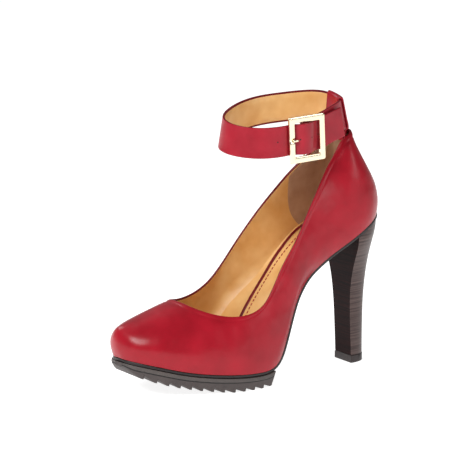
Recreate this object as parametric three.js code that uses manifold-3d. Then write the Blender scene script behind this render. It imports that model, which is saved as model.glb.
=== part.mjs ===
// Ankle strap pump, left shoe, built from named sizes and short tables. Millimetres, +Z up.
// The toe points along -Y, the outer side of the foot is +X, the floor is z = 0, and the
// origin is the middle of the underside of the heel top piece.
import * as THREE from 'three';
import Module from 'manifold-3d';

const wasm = await Module();
wasm.setup();
const { Manifold, Mesh: ManifoldMesh } = wasm;

// Driving sizes
const SHOE_LENGTH = 218;        // seat back to toe tip, level
const SEAT_BACK_Y = 17;         // back of the heel seat
const HEEL_HEIGHT = 114.4;      // floor to the feather line at the back of the seat
const BALL_HALF = 43;           // widest half width of the upper
const UPPER_WALL = 1.8;         // leather and lining together
const FIT_GAP = 0.3;            // space left between pieces that touch
const UNDERCUT_HEIGHT = 15;     // how far up the side curls back in to the feather line
const TOE_ROUND = 30;           // length over which the toe rounds off in plan
const SECTION_POWER = 3;        // squareness of the cross section
const PLATE_THICK = 2;          // sole plate between upper and heel or outsole
const PLATE_INSET = 0.5;        // plate edge stands in from the feather line
const INSOLE_THICK = 2.4;
const INSOLE_SIDE_GAP = 0.45;   // insole edge to the inside of the upper
const INSOLE_BACK_Y = 14.9;
const INSOLE_BACK_RUN = 13;     // length over which the back end rises
const LIP_OUT = 0.7;            // lip of the outsole stands out of the feather line
const LIP_HEIGHT = 2.6;
const GROOVE_DEPTH = 0.9;
const GROOVE_HEIGHT = 0.7;
const SIDE_DRAFT = 1.8;         // outsole side leans in towards the floor
const TOOTH_COUNT = 13;
const TOOTH_FIRST_Y = -190.2;   // tip of the tooth nearest the toe, on the outer edge
const TOOTH_PITCH = 7.85;
const TOOTH_DEPTH = 2.9;
const TOOTH_LAND = 1.6;         // level land on each tip
const TOOTH_REAR_RUN = 0.35;    // almost upright rear face
const TOE_BEVEL_Y = -198.4;     // where the unit starts at the toe
const TOE_START_UP = 4.6;       // underside of the toe above the line of the tread tips
const TOE_BEVEL_RUN = 4.2;
const TOE_BEVEL_UP = 2.2;
const OUTSOLE_END_Y = -92.8;    // rear end of the unit, on the outer edge
const OUTSOLE_REAR_Z = 5.4;     // top of its upright rear face
const OUTSOLE_END_THICK = 1.2;
const BEND_FROM = -122;
const TIP_HALF = 10.5;          // heel top piece
const TIP_FRONT_Y = -7.5;
const TIP_BACK_Y = 7.5;
const TIP_THICK = 5.6;
const TIP_STEP = 0.25;          // top piece stands out of the heel
const HEEL_POWER = 2.15;        // squareness of the rounded back of the heel
const HEEL_INSET = 0.6;         // heel edge in from the plate edge at the seat
const STRAP_WIDTH = 22;
const STRAP_THICK = 1.7;
const FOLD_THICK = 1.2;         // skived end folded round the bar
const FRAME_OUTER_LONG = 30;    // buckle along the strap
const FRAME_OUTER_TALL = 33.5;
const FRAME_BAR = 4.4;
const FRAME_THICK = 2.2;
const FRAME_X = 28.0;           // middle of the frame thickness
const FRAME_MID_Y = -58.4;
const FRAME_MID_Z = 175.0;
const FRAME_TILT = 0.06;        // rise of the frame towards the back, radians
const FRAME_LEAN = 0.03;        // top of the frame leans out, radians
const ANKLE_MID_Y = -60;
const FRAME_CORNER = 1.6;
const CENTRE_BAR_SHARE = 0.42;  // bar position from the front edge
const CENTRE_BAR_RADIUS = 0.85;
const CENTRE_BAR_IN = 0.9;      // bar lies inside the frame's middle plane
const PRONG_RADIUS = 1.0;
const PRONG_CLEAR = 0.35;
const NOTCH_DEPTH = 0.5;
const LOOP_THICK = 1.3;
const LOOP_HALF = 11.2;         // half length of the loop along the strap
const LOOP_FOOT_Z = 166.5;
const LOOP_NECK_Z = 174.4;      // the loop passes the neck edge at this height
const LOOP_FOOT_RADIUS = 9.2;
const LOOP_FOOT_MID_Y = -17.2;
const LOOP_FOOT_ANGLE = 0.95;   // radians either side of the back seam

// Tables. y = share of SHOE_LENGTH from the seat back, z = share of HEEL_HEIGHT,
// widths = share of BALL_HALF.
const BOTTOM = { // feather line in side view
  y: [-0.02, 0, 0.041, 0.078, 0.115, 0.151, 0.216, 0.28, 0.326, 0.362, 0.399, 0.44, 0.477,
    0.511, 0.541, 0.573, 0.619, 0.677, 0.752, 0.824, 0.89, 0.95, 1.01],
  z: [1.009, 1, 0.964, 0.926, 0.885, 0.843, 0.775, 0.701, 0.638, 0.576, 0.5, 0.382, 0.268,
    0.18, 0.134, 0.113, 0.1075, 0.1145, 0.134, 0.161, 0.1932, 0.2203, 0.246],
};
const SKEW = { // forward lead of the inner side of the tread over the outer side
  y: [0.2, 0.31, 0.362, 0.422, 0.468, 0.514, 0.583, 0.68, 0.77, 0.9],
  k: [0, 0, 0.03, 0.15, 0.26, 0.29, 0.25, 0.1, 0.0, 0],
};
const FEATHER = { // half widths of the sole outline
  y: [-0.02, 0.1, 0.17, 0.216, 0.284, 0.33, 0.362, 0.399, 0.445, 0.491, 0.537, 0.583, 0.628,
    0.674, 0.72, 0.766, 0.812, 0.858, 0.904, 0.95, 1.0],
  outer: [0.572, 0.57, 0.558, 0.55, 0.553, 0.583, 0.635, 0.712, 0.805, 0.887, 0.946, 0.976, 0.982,
    0.944, 0.892, 0.832, 0.768, 0.704, 0.648, 0.6, 0.555],
  inner: [0.572, 0.57, 0.545, 0.512, 0.477, 0.48, 0.502, 0.55, 0.632, 0.725, 0.815, 0.882, 0.921,
    0.93, 0.906, 0.862, 0.804, 0.738, 0.67, 0.612, 0.56],
};
const BODY = { // half widths at the fullest height
  y: [-0.02, 0.1, 0.17, 0.216, 0.284, 0.33, 0.362, 0.399, 0.445, 0.491, 0.537, 0.583, 0.628,
    0.674, 0.72, 0.766, 0.812, 0.858, 0.904, 0.95, 1.0],
  outer: [0.63, 0.633, 0.628, 0.622, 0.638, 0.68, 0.728, 0.793, 0.872, 0.938, 0.982, 1.0, 0.998,
    0.968, 0.922, 0.866, 0.807, 0.75, 0.7, 0.66, 0.63],
  inner: [0.63, 0.63, 0.612, 0.598, 0.59, 0.608, 0.64, 0.695, 0.775, 0.857, 0.922, 0.962, 0.978,
    0.973, 0.945, 0.898, 0.842, 0.784, 0.73, 0.685, 0.65],
};
const RIDGE = { // top of the closed last in side view
  y: [0.0, 0.1, 0.147, 0.179, 0.234, 0.294, 0.339, 0.39, 0.431, 0.468, 0.505, 0.541, 0.583, 0.628,
    0.67, 0.706, 0.739, 0.762, 0.798, 0.844, 0.899, 0.95, 1.0],
  z: [1.78, 1.66, 1.56, 1.486, 1.405, 1.35, 1.3, 1.225, 1.14, 1.035, 0.93, 0.83, 0.738, 0.658,
    0.604, 0.575, 0.556, 0.543, 0.524, 0.498, 0.468, 0.442, 0.417],
};
const BACK = { // back seam in side view and the length over which it rounds off
  z: [0.99, 1.06, 1.10, 1.18, 1.246, 1.329, 1.416, 1.469, 1.54],
  y: [17, 17.2, 16.6, 14.1, 10.3, 4.7, -0.9, -3.5, -5.2],
  round: [29, 29.5, 29, 28, 26.5, 24, 20.5, 18, 15],
};
const TOE = { // toe in side view
  z: [0.2, 0.25, 0.31, 0.367, 0.42, 0.455, 0.49],
  y: [-198.3, -199.9, -201, -200.2, -197.6, -193.5, -187],
};
const TOPLINE = { // top edge from the back seam to the middle of the throat, one row a point
  outer: [
    { x: 0, y: -5, z: 175.2 }, { x: 7.9, y: -9.2, z: 173.7 }, { x: 11, y: -16.8, z: 169.8 },
    { x: 13.5, y: -23, z: 162.5 }, { x: 17, y: -31.8, z: 152.4 }, { x: 21.6, y: -45, z: 135 },
    { x: 26.5, y: -57.2, z: 118 }, { x: 31.5, y: -67.8, z: 103 }, { x: 36, y: -77, z: 91 },
    { x: 38.5, y: -86.5, z: 78 }, { x: 39, y: -95, z: 67 }, { x: 38.2, y: -103, z: 59 },
    { x: 36.8, y: -111, z: 55 }, { x: 34.4, y: -120.5, z: 53.6 }, { x: 30.6, y: -130, z: 54.4 },
    { x: 25, y: -138.5, z: 56.4 }, { x: 14.5, y: -145.8, z: 59 }, { x: 0, y: -148.6, z: 60.4 },
  ],
  inner: [
    { x: 0, y: -5, z: 175.2 }, { x: 7.9, y: -9.2, z: 173.7 }, { x: 11, y: -18, z: 169.8 },
    { x: 13, y: -27, z: 163.2 }, { x: 16, y: -38.5, z: 153 }, { x: 19.5, y: -53.2, z: 136 },
    { x: 24, y: -65.8, z: 119.5 }, { x: 29, y: -76, z: 104 }, { x: 33.5, y: -84, z: 91 },
    { x: 36.6, y: -91.8, z: 79 }, { x: 37.5, y: -100, z: 69.5 }, { x: 36.8, y: -109, z: 62.8 },
    { x: 35, y: -117.5, z: 59 }, { x: 32, y: -126, z: 57.2 }, { x: 27.5, y: -134, z: 56.8 },
    { x: 21.5, y: -140.6, z: 57.6 }, { x: 12, y: -146.4, z: 59.4 }, { x: 0, y: -148.6, z: 60.4 },
  ],
};
const FOOTBED = { // lift of the insole square to the underside, mm, y in shares of the length
  y: [-0.02, 0.06, 0.15, 0.21, 0.245, 0.275, 0.305, 0.335, 0.365, 0.39, 0.425, 0.47, 0.6, 1],
  edge: [8.6, 9.6, 11.4, 12.3, 11.5, 10, 8.3, 6.6, 5, 4, 3.3, 3, 3, 3],
  mid: [5.4, 5.6, 6, 6, 5.6, 5, 4.4, 3.8, 3.2, 2.9, 2.7, 2.6, 2.6, 2.6],
};
const TREAD = { // tread tips above the floor, y on the outer edge
  y: [-199, -190.2, -181.6, -172, -164, -156, -148, -140, -132, -126, -100, -94.9, -88.1, -80],
  z: [17, 14.2, 11.1, 8.2, 6.1, 4.4, 2.9, 1.7, 0.6, 0, 0, 0.5, 2, 4],
};
const HEEL = { // share of the height, half width, front and back of each section
  s: [0, 0.06, 0.25, 0.42, 0.55, 0.66, 0.77, 0.86, 0.94, 1],
  half: [10.4, 10.4, 10.5, 10.9, 12, 14, 17.3, 20.6, 23.1, 23.7],
  front: [-7.5, -7.7, -8.4, -9, -9.4, -9.6, -9.8, -9.8, -9.8, -9.8],
  back: [7.5, 7.5, 7.8, 8.4, 9.5, 10.8, 12.6, 14.5, 15.9, 16.1],
};
const STRAP = [ // middle of the strap from the folded end round the ankle to the free end
  { x: 28.95, y: -57.5, z: 175.6, lean: 0.03 }, { x: 28.98, y: -60.8, z: 175.4, lean: 0.03 },
  { x: 27.1, y: -63.2, z: 175.3, lean: 0.03 }, { x: 25.1, y: -60.8, z: 175.5, lean: 0.03 },
  { x: 24.5, y: -56.8, z: 176.3, lean: 0.03 }, { x: 23.1, y: -50, z: 178.3, lean: 0.02 },
  { x: 21.1, y: -38, z: 182.2, lean: 0 }, { x: 18.2, y: -27.4, z: 185.4, lean: -0.06 },
  { x: 12.9, y: -18.3, z: 187.2, lean: -0.16 }, { x: 7, y: -13.6, z: 187.6, lean: -0.23 },
  { x: 0, y: -12, z: 188.4, lean: -0.25 }, { x: -7, y: -13.4, z: 189.9, lean: -0.23 },
  { x: -13.5, y: -17.8, z: 191.4, lean: -0.14 }, { x: -21.5, y: -29, z: 191.5, lean: -0.04 },
  { x: -27.5, y: -44, z: 190.2, lean: 0 }, { x: -30.3, y: -60, z: 188.8, lean: 0 },
  { x: -29.2, y: -76, z: 186.4, lean: -0.05 }, { x: -24.2, y: -91, z: 183, lean: -0.12 },
  { x: -15, y: -103, z: 180, lean: -0.16 }, { x: -3, y: -109.3, z: 177.6, lean: -0.16 },
  { x: 9, y: -108.3, z: 175.6, lean: -0.13 }, { x: 17.8, y: -101.5, z: 174.2, lean: -0.08 },
  { x: 23, y: -92, z: 173.6, lean: -0.04 }, { x: 25.2, y: -82, z: 173.8, lean: 0 },
  { x: 25.5, y: -74.4, z: 174.3, lean: 0.03 }, { x: 25.15, y: -69.9, z: 174.6, lean: 0.03 },
  { x: 27.7, y: -66.3, z: 174.9, lean: 0.03 }, { x: 30.7, y: -63.1, z: 175.2, lean: 0.03 },
  { x: 30.8, y: -59.1, z: 175.6, lean: 0.03 }, { x: 28.1, y: -53.3, z: 176.3, lean: 0.03 },
  { x: 25.5, y: -48.5, z: 176.9, lean: 0.03 }, { x: 25.1, y: -44, z: 178, lean: 0.02 },
  { x: 24.3, y: -39, z: 179.6, lean: 0 }, { x: 22.1, y: -30, z: 181.9, lean: 0 },
  { x: 20.3, y: -22.8, z: 183.5, lean: 0 },
];
const PRONG = [ // outward and along the strap from the centre bar
  { out: -1.2, along: -1.6 }, { out: -0.6, along: -2.9 }, { out: 0.7, along: -4.4 },
  { out: 2.2, along: -5.7 }, { out: 2.9, along: -7.2 }, { out: 2.75, along: -8.8 }, { out: 2.35, along: -10.2 },
];

// Grid sizes
const SIDE_COLUMNS = 44;
const OUTER_ROWS = 15;
const INNER_ROWS = 9;
const STATIONS = 44;

const clamp = (v, a, b) => Math.min(b, Math.max(a, v));
const lerp = (a, b, t) => a + (b - a) * t;

// Smooth curve through table points, straight beyond the ends.
function curve(xs, ys) {
  const n = xs.length;
  const m = new Array(n).fill(0);
  const u = new Array(n).fill(0);
  for (let i = 1; i < n - 1; i++) {
    const sig = (xs[i] - xs[i - 1]) / (xs[i + 1] - xs[i - 1]);
    const p = sig * m[i - 1] + 2;
    m[i] = (sig - 1) / p;
    const d = (ys[i + 1] - ys[i]) / (xs[i + 1] - xs[i]) - (ys[i] - ys[i - 1]) / (xs[i] - xs[i - 1]);
    u[i] = (6 * d / (xs[i + 1] - xs[i - 1]) - sig * u[i - 1]) / p;
  }
  for (let i = n - 2; i >= 0; i--) m[i] = m[i] * m[i + 1] + u[i];
  return (x) => {
    let i = 0;
    while (i < n - 2 && x > xs[i + 1]) i++;
    const h = xs[i + 1] - xs[i];
    const slope = (ys[i + 1] - ys[i]) / h;
    if (x < xs[0]) return ys[0] + (x - xs[0]) * (slope - h * (2 * m[i] + m[i + 1]) / 6);
    if (x > xs[n - 1]) return ys[n - 1] + (x - xs[n - 1]) * (slope + h * (m[i] + 2 * m[i + 1]) / 6);
    const a = (xs[i + 1] - x) / h;
    const b = (x - xs[i]) / h;
    return a * ys[i] + b * ys[i + 1] + ((a ** 3 - a) * m[i] + (b ** 3 - b) * m[i + 1]) * h * h / 6;
  };
}
const overLength = (t, key, scale) => {
  const f = curve(t.y, t[key]);
  return (y) => scale * f((SEAT_BACK_Y - y) / SHOE_LENGTH);
};
const bottomAt = overLength(BOTTOM, 'z', HEEL_HEIGHT);
const skewAt = overLength(SKEW, 'k', 1);
const ridgeAt = overLength(RIDGE, 'z', HEEL_HEIGHT);
const featherOf = { 1: overLength(FEATHER, 'outer', BALL_HALF), [-1]: overLength(FEATHER, 'inner', BALL_HALF) };
const bodyOf = { 1: overLength(BODY, 'outer', BALL_HALF), [-1]: overLength(BODY, 'inner', BALL_HALF) };
const within = (t, key) => {
  const f = curve(t.z.map((z) => z * HEEL_HEIGHT), t[key]);
  return (z) => f(clamp(z, t.z[0] * HEEL_HEIGHT, t.z[t.z.length - 1] * HEEL_HEIGHT));
};
const backY = within(BACK, 'y');
const backRound = within(BACK, 'round');
const toeY = within(TOE, 'y');

const rounding = (u, p = 2.2) => (u <= 0 ? 0 : u >= 1 ? 1 : (1 - (1 - u) ** p) ** (1 / 2.05));
const sideBottom = (side, y) => bottomAt(y - side * skewAt(y) * featherOf[side](y));

// Half width of the last on one side at height z.
function halfWidth(side, y, z) {
  const zb = sideBottom(side, y);
  const h = z - zb;
  const tau = clamp(h / (ridgeAt(y) - zb), 0, 1);
  const body = bodyOf[side](y);
  const cut = 1 - featherOf[side](y) / body;
  const under = 1 - cut * Math.max(0, 1 - h / UNDERCUT_HEIGHT) ** 2;
  const shape = Math.sqrt(Math.max(0, 1 - tau ** SECTION_POWER));
  const ends = rounding((backY(z) - y) / backRound(z)) * rounding((y - toeY(z)) / TOE_ROUND);
  return body * under * shape * ends;
}
// Half width left inside a wall of the given depth.
function insideWidth(side, y, z, depth) {
  const w = halfWidth(side, y, z);
  const gy = halfWidth(side, y + 0.3, z) - halfWidth(side, y - 0.3, z);
  const gz = halfWidth(side, y, z + 0.3) - halfWidth(side, y, z - 0.3);
  return Math.max(0, w - depth * Math.hypot(1, gy / 0.6, gz / 0.6));
}
const slopeAt = (s) => bottomAt(s + 0.5) - bottomAt(s - 0.5);
// Outline point for a station line; s is y on the middle line, drop is square to the underside.
function sidePoint(side, s, out = 0, drop = 0) {
  let y = s;
  for (let k = 0; k < 8; k++) y = s + side * skewAt(y) * featherOf[side](y);
  const z = bottomAt(s);
  const g = slopeAt(s);
  const q = drop / Math.hypot(1, g);
  const ends = rounding((backY(z) - y) / backRound(z)) * rounding((y - toeY(z)) / TOE_ROUND);
  return new THREE.Vector3(side * Math.max(0, featherOf[side](y) * ends + out), y + g * q, z - q);
}
function resample(points, count) {
  const len = [0];
  for (let i = 1; i < points.length; i++) len.push(len[i - 1] + points[i].distanceTo(points[i - 1]));
  const out = [];
  for (let k = 0, i = 1; k < count; k++) {
    const d = len[len.length - 1] * k / (count - 1);
    while (i < points.length - 1 && len[i] < d) i++;
    out.push(points[i - 1].clone().lerp(points[i], (d - len[i - 1]) / (len[i] - len[i - 1])));
  }
  return out;
}
function featherSide(side, count) {
  const a = SEAT_BACK_Y;
  const b = toeY(bottomAt(-198));
  const pts = [];
  for (let i = 0; i <= 400; i++) pts.push(sidePoint(side, lerp(a, b, (1 - Math.cos(Math.PI * i / 400)) / 2)));
  pts[0].x = 0;
  pts[400].x = 0;
  return resample(pts, count);
}
function toplineSide(side, count) {
  const rows = TOPLINE[side > 0 ? 'outer' : 'inner'];
  const d = [0];
  rows.slice(1).forEach((r, i) => {
    const q = rows[i];
    d.push(d[i] + Math.hypot(r.x - q.x, r.y - q.y, r.z - q.z));
  });
  const f = ['x', 'y', 'z'].map((k) => curve(d, rows.map((r) => r[k])));
  const pts = [];
  for (let i = 0; i <= 300; i++) {
    const t = d[d.length - 1] * i / 300;
    pts.push(new THREE.Vector3(side * Math.max(0, f[0](t)), f[1](t), f[2](t)));
  }
  return resample(pts, count);
}
// Columns of the upper, counted round from the back seam by the outer side.
function upperColumns(rows) {
  const cols = [];
  for (const side of [1, -1]) {
    const feet = featherSide(side, SIDE_COLUMNS + 1);
    const tops = toplineSide(side, SIDE_COLUMNS + 1);
    const list = [];
    for (let i = 0; i <= SIDE_COLUMNS; i++) {
      const a = feet[Math.max(0, i - 1)];
      const b = feet[Math.min(SIDE_COLUMNS, i + 1)];
      let out = new THREE.Vector3(side * -(b.y - a.y), side * (b.x - a.x), 0).normalize();
      if (i === 0) out = new THREE.Vector3(0, 1, 0);
      if (i === SIDE_COLUMNS) out = new THREE.Vector3(0, -1, 0);
      list.push(column(side, feet[i], tops[i], out, rows));
    }
    if (side > 0) cols.push(...list);
    else cols.push(...list.reverse().slice(1, -1));
  }
  return cols;
}
function column(side, foot, top, out, rows) {
  const chord = top.clone().sub(foot);
  const inward = Math.max(0, -chord.dot(out));
  const push = out.clone().multiplyScalar(Math.max(8, chord.z)).add(new THREE.Vector3(0, 0, inward)).normalize();
  const inside = (p) => halfWidth(p.x === 0 ? side : Math.sign(p.x), p.y, p.z) > Math.abs(p.x) + 1e-6;
  const dense = [foot.clone()];
  const N = 60;
  for (let k = 1; k <= N; k++) {
    const base = foot.clone().addScaledVector(chord, k / N);
    let lo = -14;
    let hi = 26;
    let s = lo;
    while (s < hi && !inside(base.clone().addScaledVector(push, s))) s += 1;
    if (s >= hi) { dense.push(base); continue; }
    lo = s;
    while (s < hi && inside(base.clone().addScaledVector(push, s))) s += 1;
    hi = s;
    lo = s - 1;
    for (let b = 0; b < 24; b++) {
      const mid = (lo + hi) / 2;
      if (inside(base.clone().addScaledVector(push, mid))) lo = mid; else hi = mid;
    }
    dense.push(base.addScaledVector(push, lo));
  }
  return resample(dense, rows);
}
function normalsOf(cols) {
  const n = cols.length;
  const m = cols[0].length;
  return cols.map((c, i) => c.map((p, j) => {
    const du = cols[(i + 1) % n][j].clone().sub(cols[(i + n - 1) % n][j]);
    const dv = c[Math.min(m - 1, j + 1)].clone().sub(c[Math.max(0, j - 1)]);
    return dv.cross(du).normalize();
  }));
}

// Mesh helpers
const quad = (t, a, b, c, d) => t.push(a, b, c, a, c, d);
function gridSolid(cols, outerRows, innerRows) {
  const nrm = normalsOf(cols);
  const n = cols.length;
  const pts = [];
  const ring = [];
  cols.forEach((c, i) => {
    const inner = c.map((p, j) => p.clone().addScaledVector(nrm[i][j], -UPPER_WALL));
    const sum = resample(inner, innerRows).reverse();
    ring.push([...resample(c, outerRows), ...sum]);
  });
  const m = outerRows + innerRows;
  ring.forEach((r) => pts.push(...r));
  const tri = [];
  for (let i = 0; i < n; i++) {
    for (let j = 0; j < m; j++) {
      const i2 = (i + 1) % n;
      const j2 = (j + 1) % m;
      quad(tri, i * m + j, i2 * m + j, i2 * m + j2, i * m + j2);
    }
  }
  return { pts, tri };
}
// Closed body from rings of equal length, capped with fans.
function rings(list) {
  const m = list[0].length;
  const pts = list.flat();
  const tri = [];
  for (let i = 0; i < list.length - 1; i++) {
    for (let j = 0; j < m; j++) {
      const j2 = (j + 1) % m;
      quad(tri, i * m + j, i * m + j2, (i + 1) * m + j2, (i + 1) * m + j);
    }
  }
  const cap = (start, flip) => {
    const flat = pts.slice(start, start + m);
    const ax = capAxes(flat);
    const shape = flat.map((p) => new THREE.Vector2(p.dot(ax[0]), p.dot(ax[1])));
    for (const f of THREE.ShapeUtils.triangulateShape(shape, [])) {
      tri.push(start + f[0], start + f[flip ? 2 : 1], start + f[flip ? 1 : 2]);
    }
  };
  cap(0, false);
  cap((list.length - 1) * m, false);
  return orient({ pts, tri }, m, list.length);
}
function capAxes(flat) {
  const n = new THREE.Vector3();
  flat.forEach((p, i) => n.add(p.clone().cross(flat[(i + 1) % flat.length])));
  n.normalize();
  const a = new THREE.Vector3(Math.abs(n.x) < 0.9 ? 1 : 0, Math.abs(n.x) < 0.9 ? 0 : 1, 0);
  a.addScaledVector(n, -a.dot(n)).normalize();
  return [a, n.clone().cross(a)];
}
// Makes every edge run both ways and the volume positive.
function orient(body) {
  const { pts, tri } = body;
  const faces = [];
  for (let i = 0; i < tri.length; i += 3) {
    const f = [tri[i], tri[i + 1], tri[i + 2]];
    if (new Set(f).size === 3) faces.push(f);
  }
  const byEdge = new Map();
  faces.forEach((f, k) => f.forEach((a, i) => {
    const b = f[(i + 1) % 3];
    const key = a < b ? `${a}_${b}` : `${b}_${a}`;
    if (!byEdge.has(key)) byEdge.set(key, []);
    byEdge.get(key).push(k);
  }));
  const seen = new Array(faces.length).fill(false);
  for (let start = 0; start < faces.length; start++) {
    if (seen[start]) continue;
    seen[start] = true;
    const stack = [start];
    while (stack.length) {
      const k = stack.pop();
      const f = faces[k];
      for (let i = 0; i < 3; i++) {
        const a = f[i];
        const b = f[(i + 1) % 3];
        for (const o of byEdge.get(a < b ? `${a}_${b}` : `${b}_${a}`)) {
          if (seen[o]) continue;
          const g = faces[o];
          const same = g.some((v, q) => v === a && g[(q + 1) % 3] === b);
          if (same) g.reverse();
          seen[o] = true;
          stack.push(o);
        }
      }
    }
  }
  let vol = 0;
  for (const f of faces) vol += pts[f[0]].dot(pts[f[1]].clone().cross(pts[f[2]]));
  if (vol < 0) faces.forEach((f) => f.reverse());
  return { pts, tri: faces.flat() };
}
function geometryOf(body) {
  const g = new THREE.BufferGeometry();
  const flat = new Float32Array(body.pts.length * 3);
  body.pts.forEach((p, i) => p.toArray(flat, i * 3));
  g.setAttribute('position', new THREE.BufferAttribute(flat, 3));
  g.setIndex(body.tri);
  g.computeVertexNormals();
  return g;
}
function solidOf(body) {
  const flat = new Float32Array(body.pts.length * 3);
  body.pts.forEach((p, i) => p.toArray(flat, i * 3));
  const mesh = new ManifoldMesh({ numProp: 3, vertProperties: flat, triVerts: new Uint32Array(body.tri) });
  mesh.merge();
  return new Manifold(mesh);
}
function geometryOfSolid(solid) {
  const mesh = solid.getMesh();
  const g = new THREE.BufferGeometry();
  g.setAttribute('position', new THREE.BufferAttribute(new Float32Array(mesh.vertProperties), 3));
  g.setIndex(Array.from(mesh.triVerts));
  g.computeVertexNormals();
  return g;
}

// Stations from the heel to the toe, close together where the outline turns; every layer
// shares them so that neighbouring faces run parallel.
const toeStation = -198.6;
const stationMarks = [];
for (let i = 0; i < STATIONS; i++) {
  const t = (1 - Math.cos(Math.PI * i / (STATIONS - 1))) / 2;
  stationMarks.push(lerp(SEAT_BACK_Y, SEAT_BACK_Y - SHOE_LENGTH + 3, t));
}
const stationList = (from, to) => [from, ...stationMarks.filter((s) => s < from - 0.25 && s > to + 0.25), to];
// Flat layer that follows the underside: out = edge offset, top and base = drops below it.
function layer(from, to, out, top, base, bevel) {
  const list = stationList(from, to).map((s) => {
    const row = (side, o, drop) => sidePoint(side, s, o, drop);
    return [
      row(1, out - bevel, top), row(1, out, top + bevel), row(1, out, base - bevel),
      row(1, out - bevel, base), row(-1, out - bevel, base), row(-1, out, base - bevel),
      row(-1, out, top + bevel), row(-1, out - bevel, top),
    ];
  });
  return rings(list);
}

// Dished insole: thin, raised along the edge and at the back of the heel.
function footbed() {
  const edgeAt = overLength(FOOTBED, 'edge', 1);
  const midAt = overLength(FOOTBED, 'mid', 1);
  const wall = UPPER_WALL + INSOLE_SIDE_GAP;
  return rings(stationList(INSOLE_BACK_Y, toeStation + 2.4).map((s) => {
    const a = sidePoint(1, s);
    const b = sidePoint(-1, s);
    const k = a.x - b.x > 1 ? (a.y - b.y) / (a.x - b.x) : 0;
    const g = slopeAt(s);
    const n = Math.hypot(1, g);
    const at = (x, lift) => new THREE.Vector3(x, a.y - k * a.x + k * x - g * lift / n, a.z + lift / n);
    const back = clamp(1 - (INSOLE_BACK_Y - s) / INSOLE_BACK_RUN, 0, 1) ** 2.5;
    const edge = edgeAt(s);
    const mid = lerp(midAt(s), edge - 0.5, back);
    const lift = (f) => lerp(mid, edge, f ** 3.5);
    const reach = (side, h) => {
      let x = side * 10;
      for (let i = 0; i < 12; i++) {
        const p = at(x, h);
        x = side * insideWidth(side, p.y, p.z, wall);
      }
      return Math.max(0.3, Math.abs(x));
    };
    const half = (side) => {
      const e = Math.min(reach(side, edge), reach(side, edge - INSOLE_THICK));
      const low = (f) => Math.max(0, lift(f) - INSOLE_THICK);
      return [
        at(side * e * 0.4, lift(0.4)), at(side * e * 0.7, lift(0.7)), at(side * e * 0.88, lift(0.88)),
        at(side * e, lift(1)), at(side * (e - 0.1), low(1)),
        at(side * e * 0.85, low(0.85)), at(side * e * 0.5, low(0.5)),
      ];
    };
    return [at(0, mid), ...half(1), at(0, Math.max(0, mid - INSOLE_THICK)), ...half(-1).reverse()];
  }));
}

function soleUnit() {
  const top = FIT_GAP * 2 + PLATE_THICK;
  const tread = curve(TREAD.y, TREAD.z);
  const onLine = (y) => y - skewAt(y) * featherOf[1](y);
  const marks = [{ y: TOE_BEVEL_Y, up: TOE_START_UP }, { y: TOOTH_FIRST_Y - TOE_BEVEL_RUN, up: TOE_BEVEL_UP }];
  for (let i = 0; i < TOOTH_COUNT; i++) {
    const tip = TOOTH_FIRST_Y + i * TOOTH_PITCH;
    if (i > 0) marks.push({ y: tip - TOOTH_PITCH + TOOTH_LAND + TOOTH_REAR_RUN, up: TOOTH_DEPTH });
    marks.push({ y: tip, up: 0 }, { y: tip + TOOTH_LAND, up: 0 });
  }
  const last = marks[marks.length - 1].y;
  const list = marks.map((m) => ({ s: onLine(m.y), z: Math.max(0, tread(m.y)) + m.up }));
  const end = onLine(OUTSOLE_END_Y);
  list.push({ s: onLine(last + TOOTH_REAR_RUN), z: OUTSOLE_REAR_Z });
  list.push({ s: end, z: bottomAt(end) - (top + OUTSOLE_END_THICK) * Math.hypot(1, slopeAt(end)) });
  // Stations of the plate are taken over where the underside bends most.
  const extra = [];
  for (const s of stationMarks) {
    const i = list.findIndex((q) => q.s > s);
    if (s < BEND_FROM || i < 1) continue;
    const a = list[i - 1];
    const b = list[i];
    if (s - a.s < 0.3 || b.s - s < 0.3) continue;
    extra.push({ s, z: lerp(a.z, b.z, (s - a.s) / (b.s - a.s)) });
  }
  const rows = [...list, ...extra].sort((a, b) => a.s - b.s);
  return rings(rows.map(({ s, z }) => {
    const room = bottomAt(s) - top * Math.hypot(1, slopeAt(s)) - z;
    const depth = room / Math.hypot(1, slopeAt(s));
    const lip = Math.min(LIP_HEIGHT, depth * 0.4);
    const slot = Math.min(GROOVE_HEIGHT, depth * 0.15);
    const half = (side) => {
      const foot = sidePoint(side, s, -SIDE_DRAFT * Math.min(1, depth / 10), 0);
      foot.z = z;
      return [
        sidePoint(side, s, LIP_OUT, top), sidePoint(side, s, LIP_OUT, top + lip),
        sidePoint(side, s, LIP_OUT - GROOVE_DEPTH, top + lip + slot * 0.4),
        sidePoint(side, s, -0.1, top + lip + slot), foot,
      ];
    };
    return [...half(1), ...half(-1).reverse()];
  }));
}

// Heel section: flat front, rounded back.
function heelSection(half, front, back, zOf, count = 22) {
  const pts = [];
  for (let i = 0; i <= count; i++) {
    const a = Math.PI * i / count;
    const c = Math.cos(a);
    const x = half * Math.sign(c) * Math.abs(c) ** (2 / HEEL_POWER);
    const y = front + (back - front) * Math.sin(a) ** (2 / HEEL_POWER);
    pts.push(new THREE.Vector3(x, y, zOf(y)));
  }
  for (const k of [0.5, 0, -0.5]) pts.push(new THREE.Vector3(-half * k, front, zOf(front)));
  return pts;
}
function heelBody() {
  const seat = (y) => bottomAt(y) - (PLATE_THICK + 2 * FIT_GAP) * Math.hypot(1, slopeAt(y));
  const f = ['half', 'front', 'back'].map((k) => curve(HEEL.s, HEEL[k]));
  const foot = TIP_THICK + FIT_GAP;
  const list = [];
  const levels = 17;
  for (let i = 0; i <= levels; i++) {
    const s = i / levels;
    list.push(heelSection(f[0](s), f[1](s), f[2](s), (y) => lerp(foot, seat(y), s)));
  }
  return rings(list);
}
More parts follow.
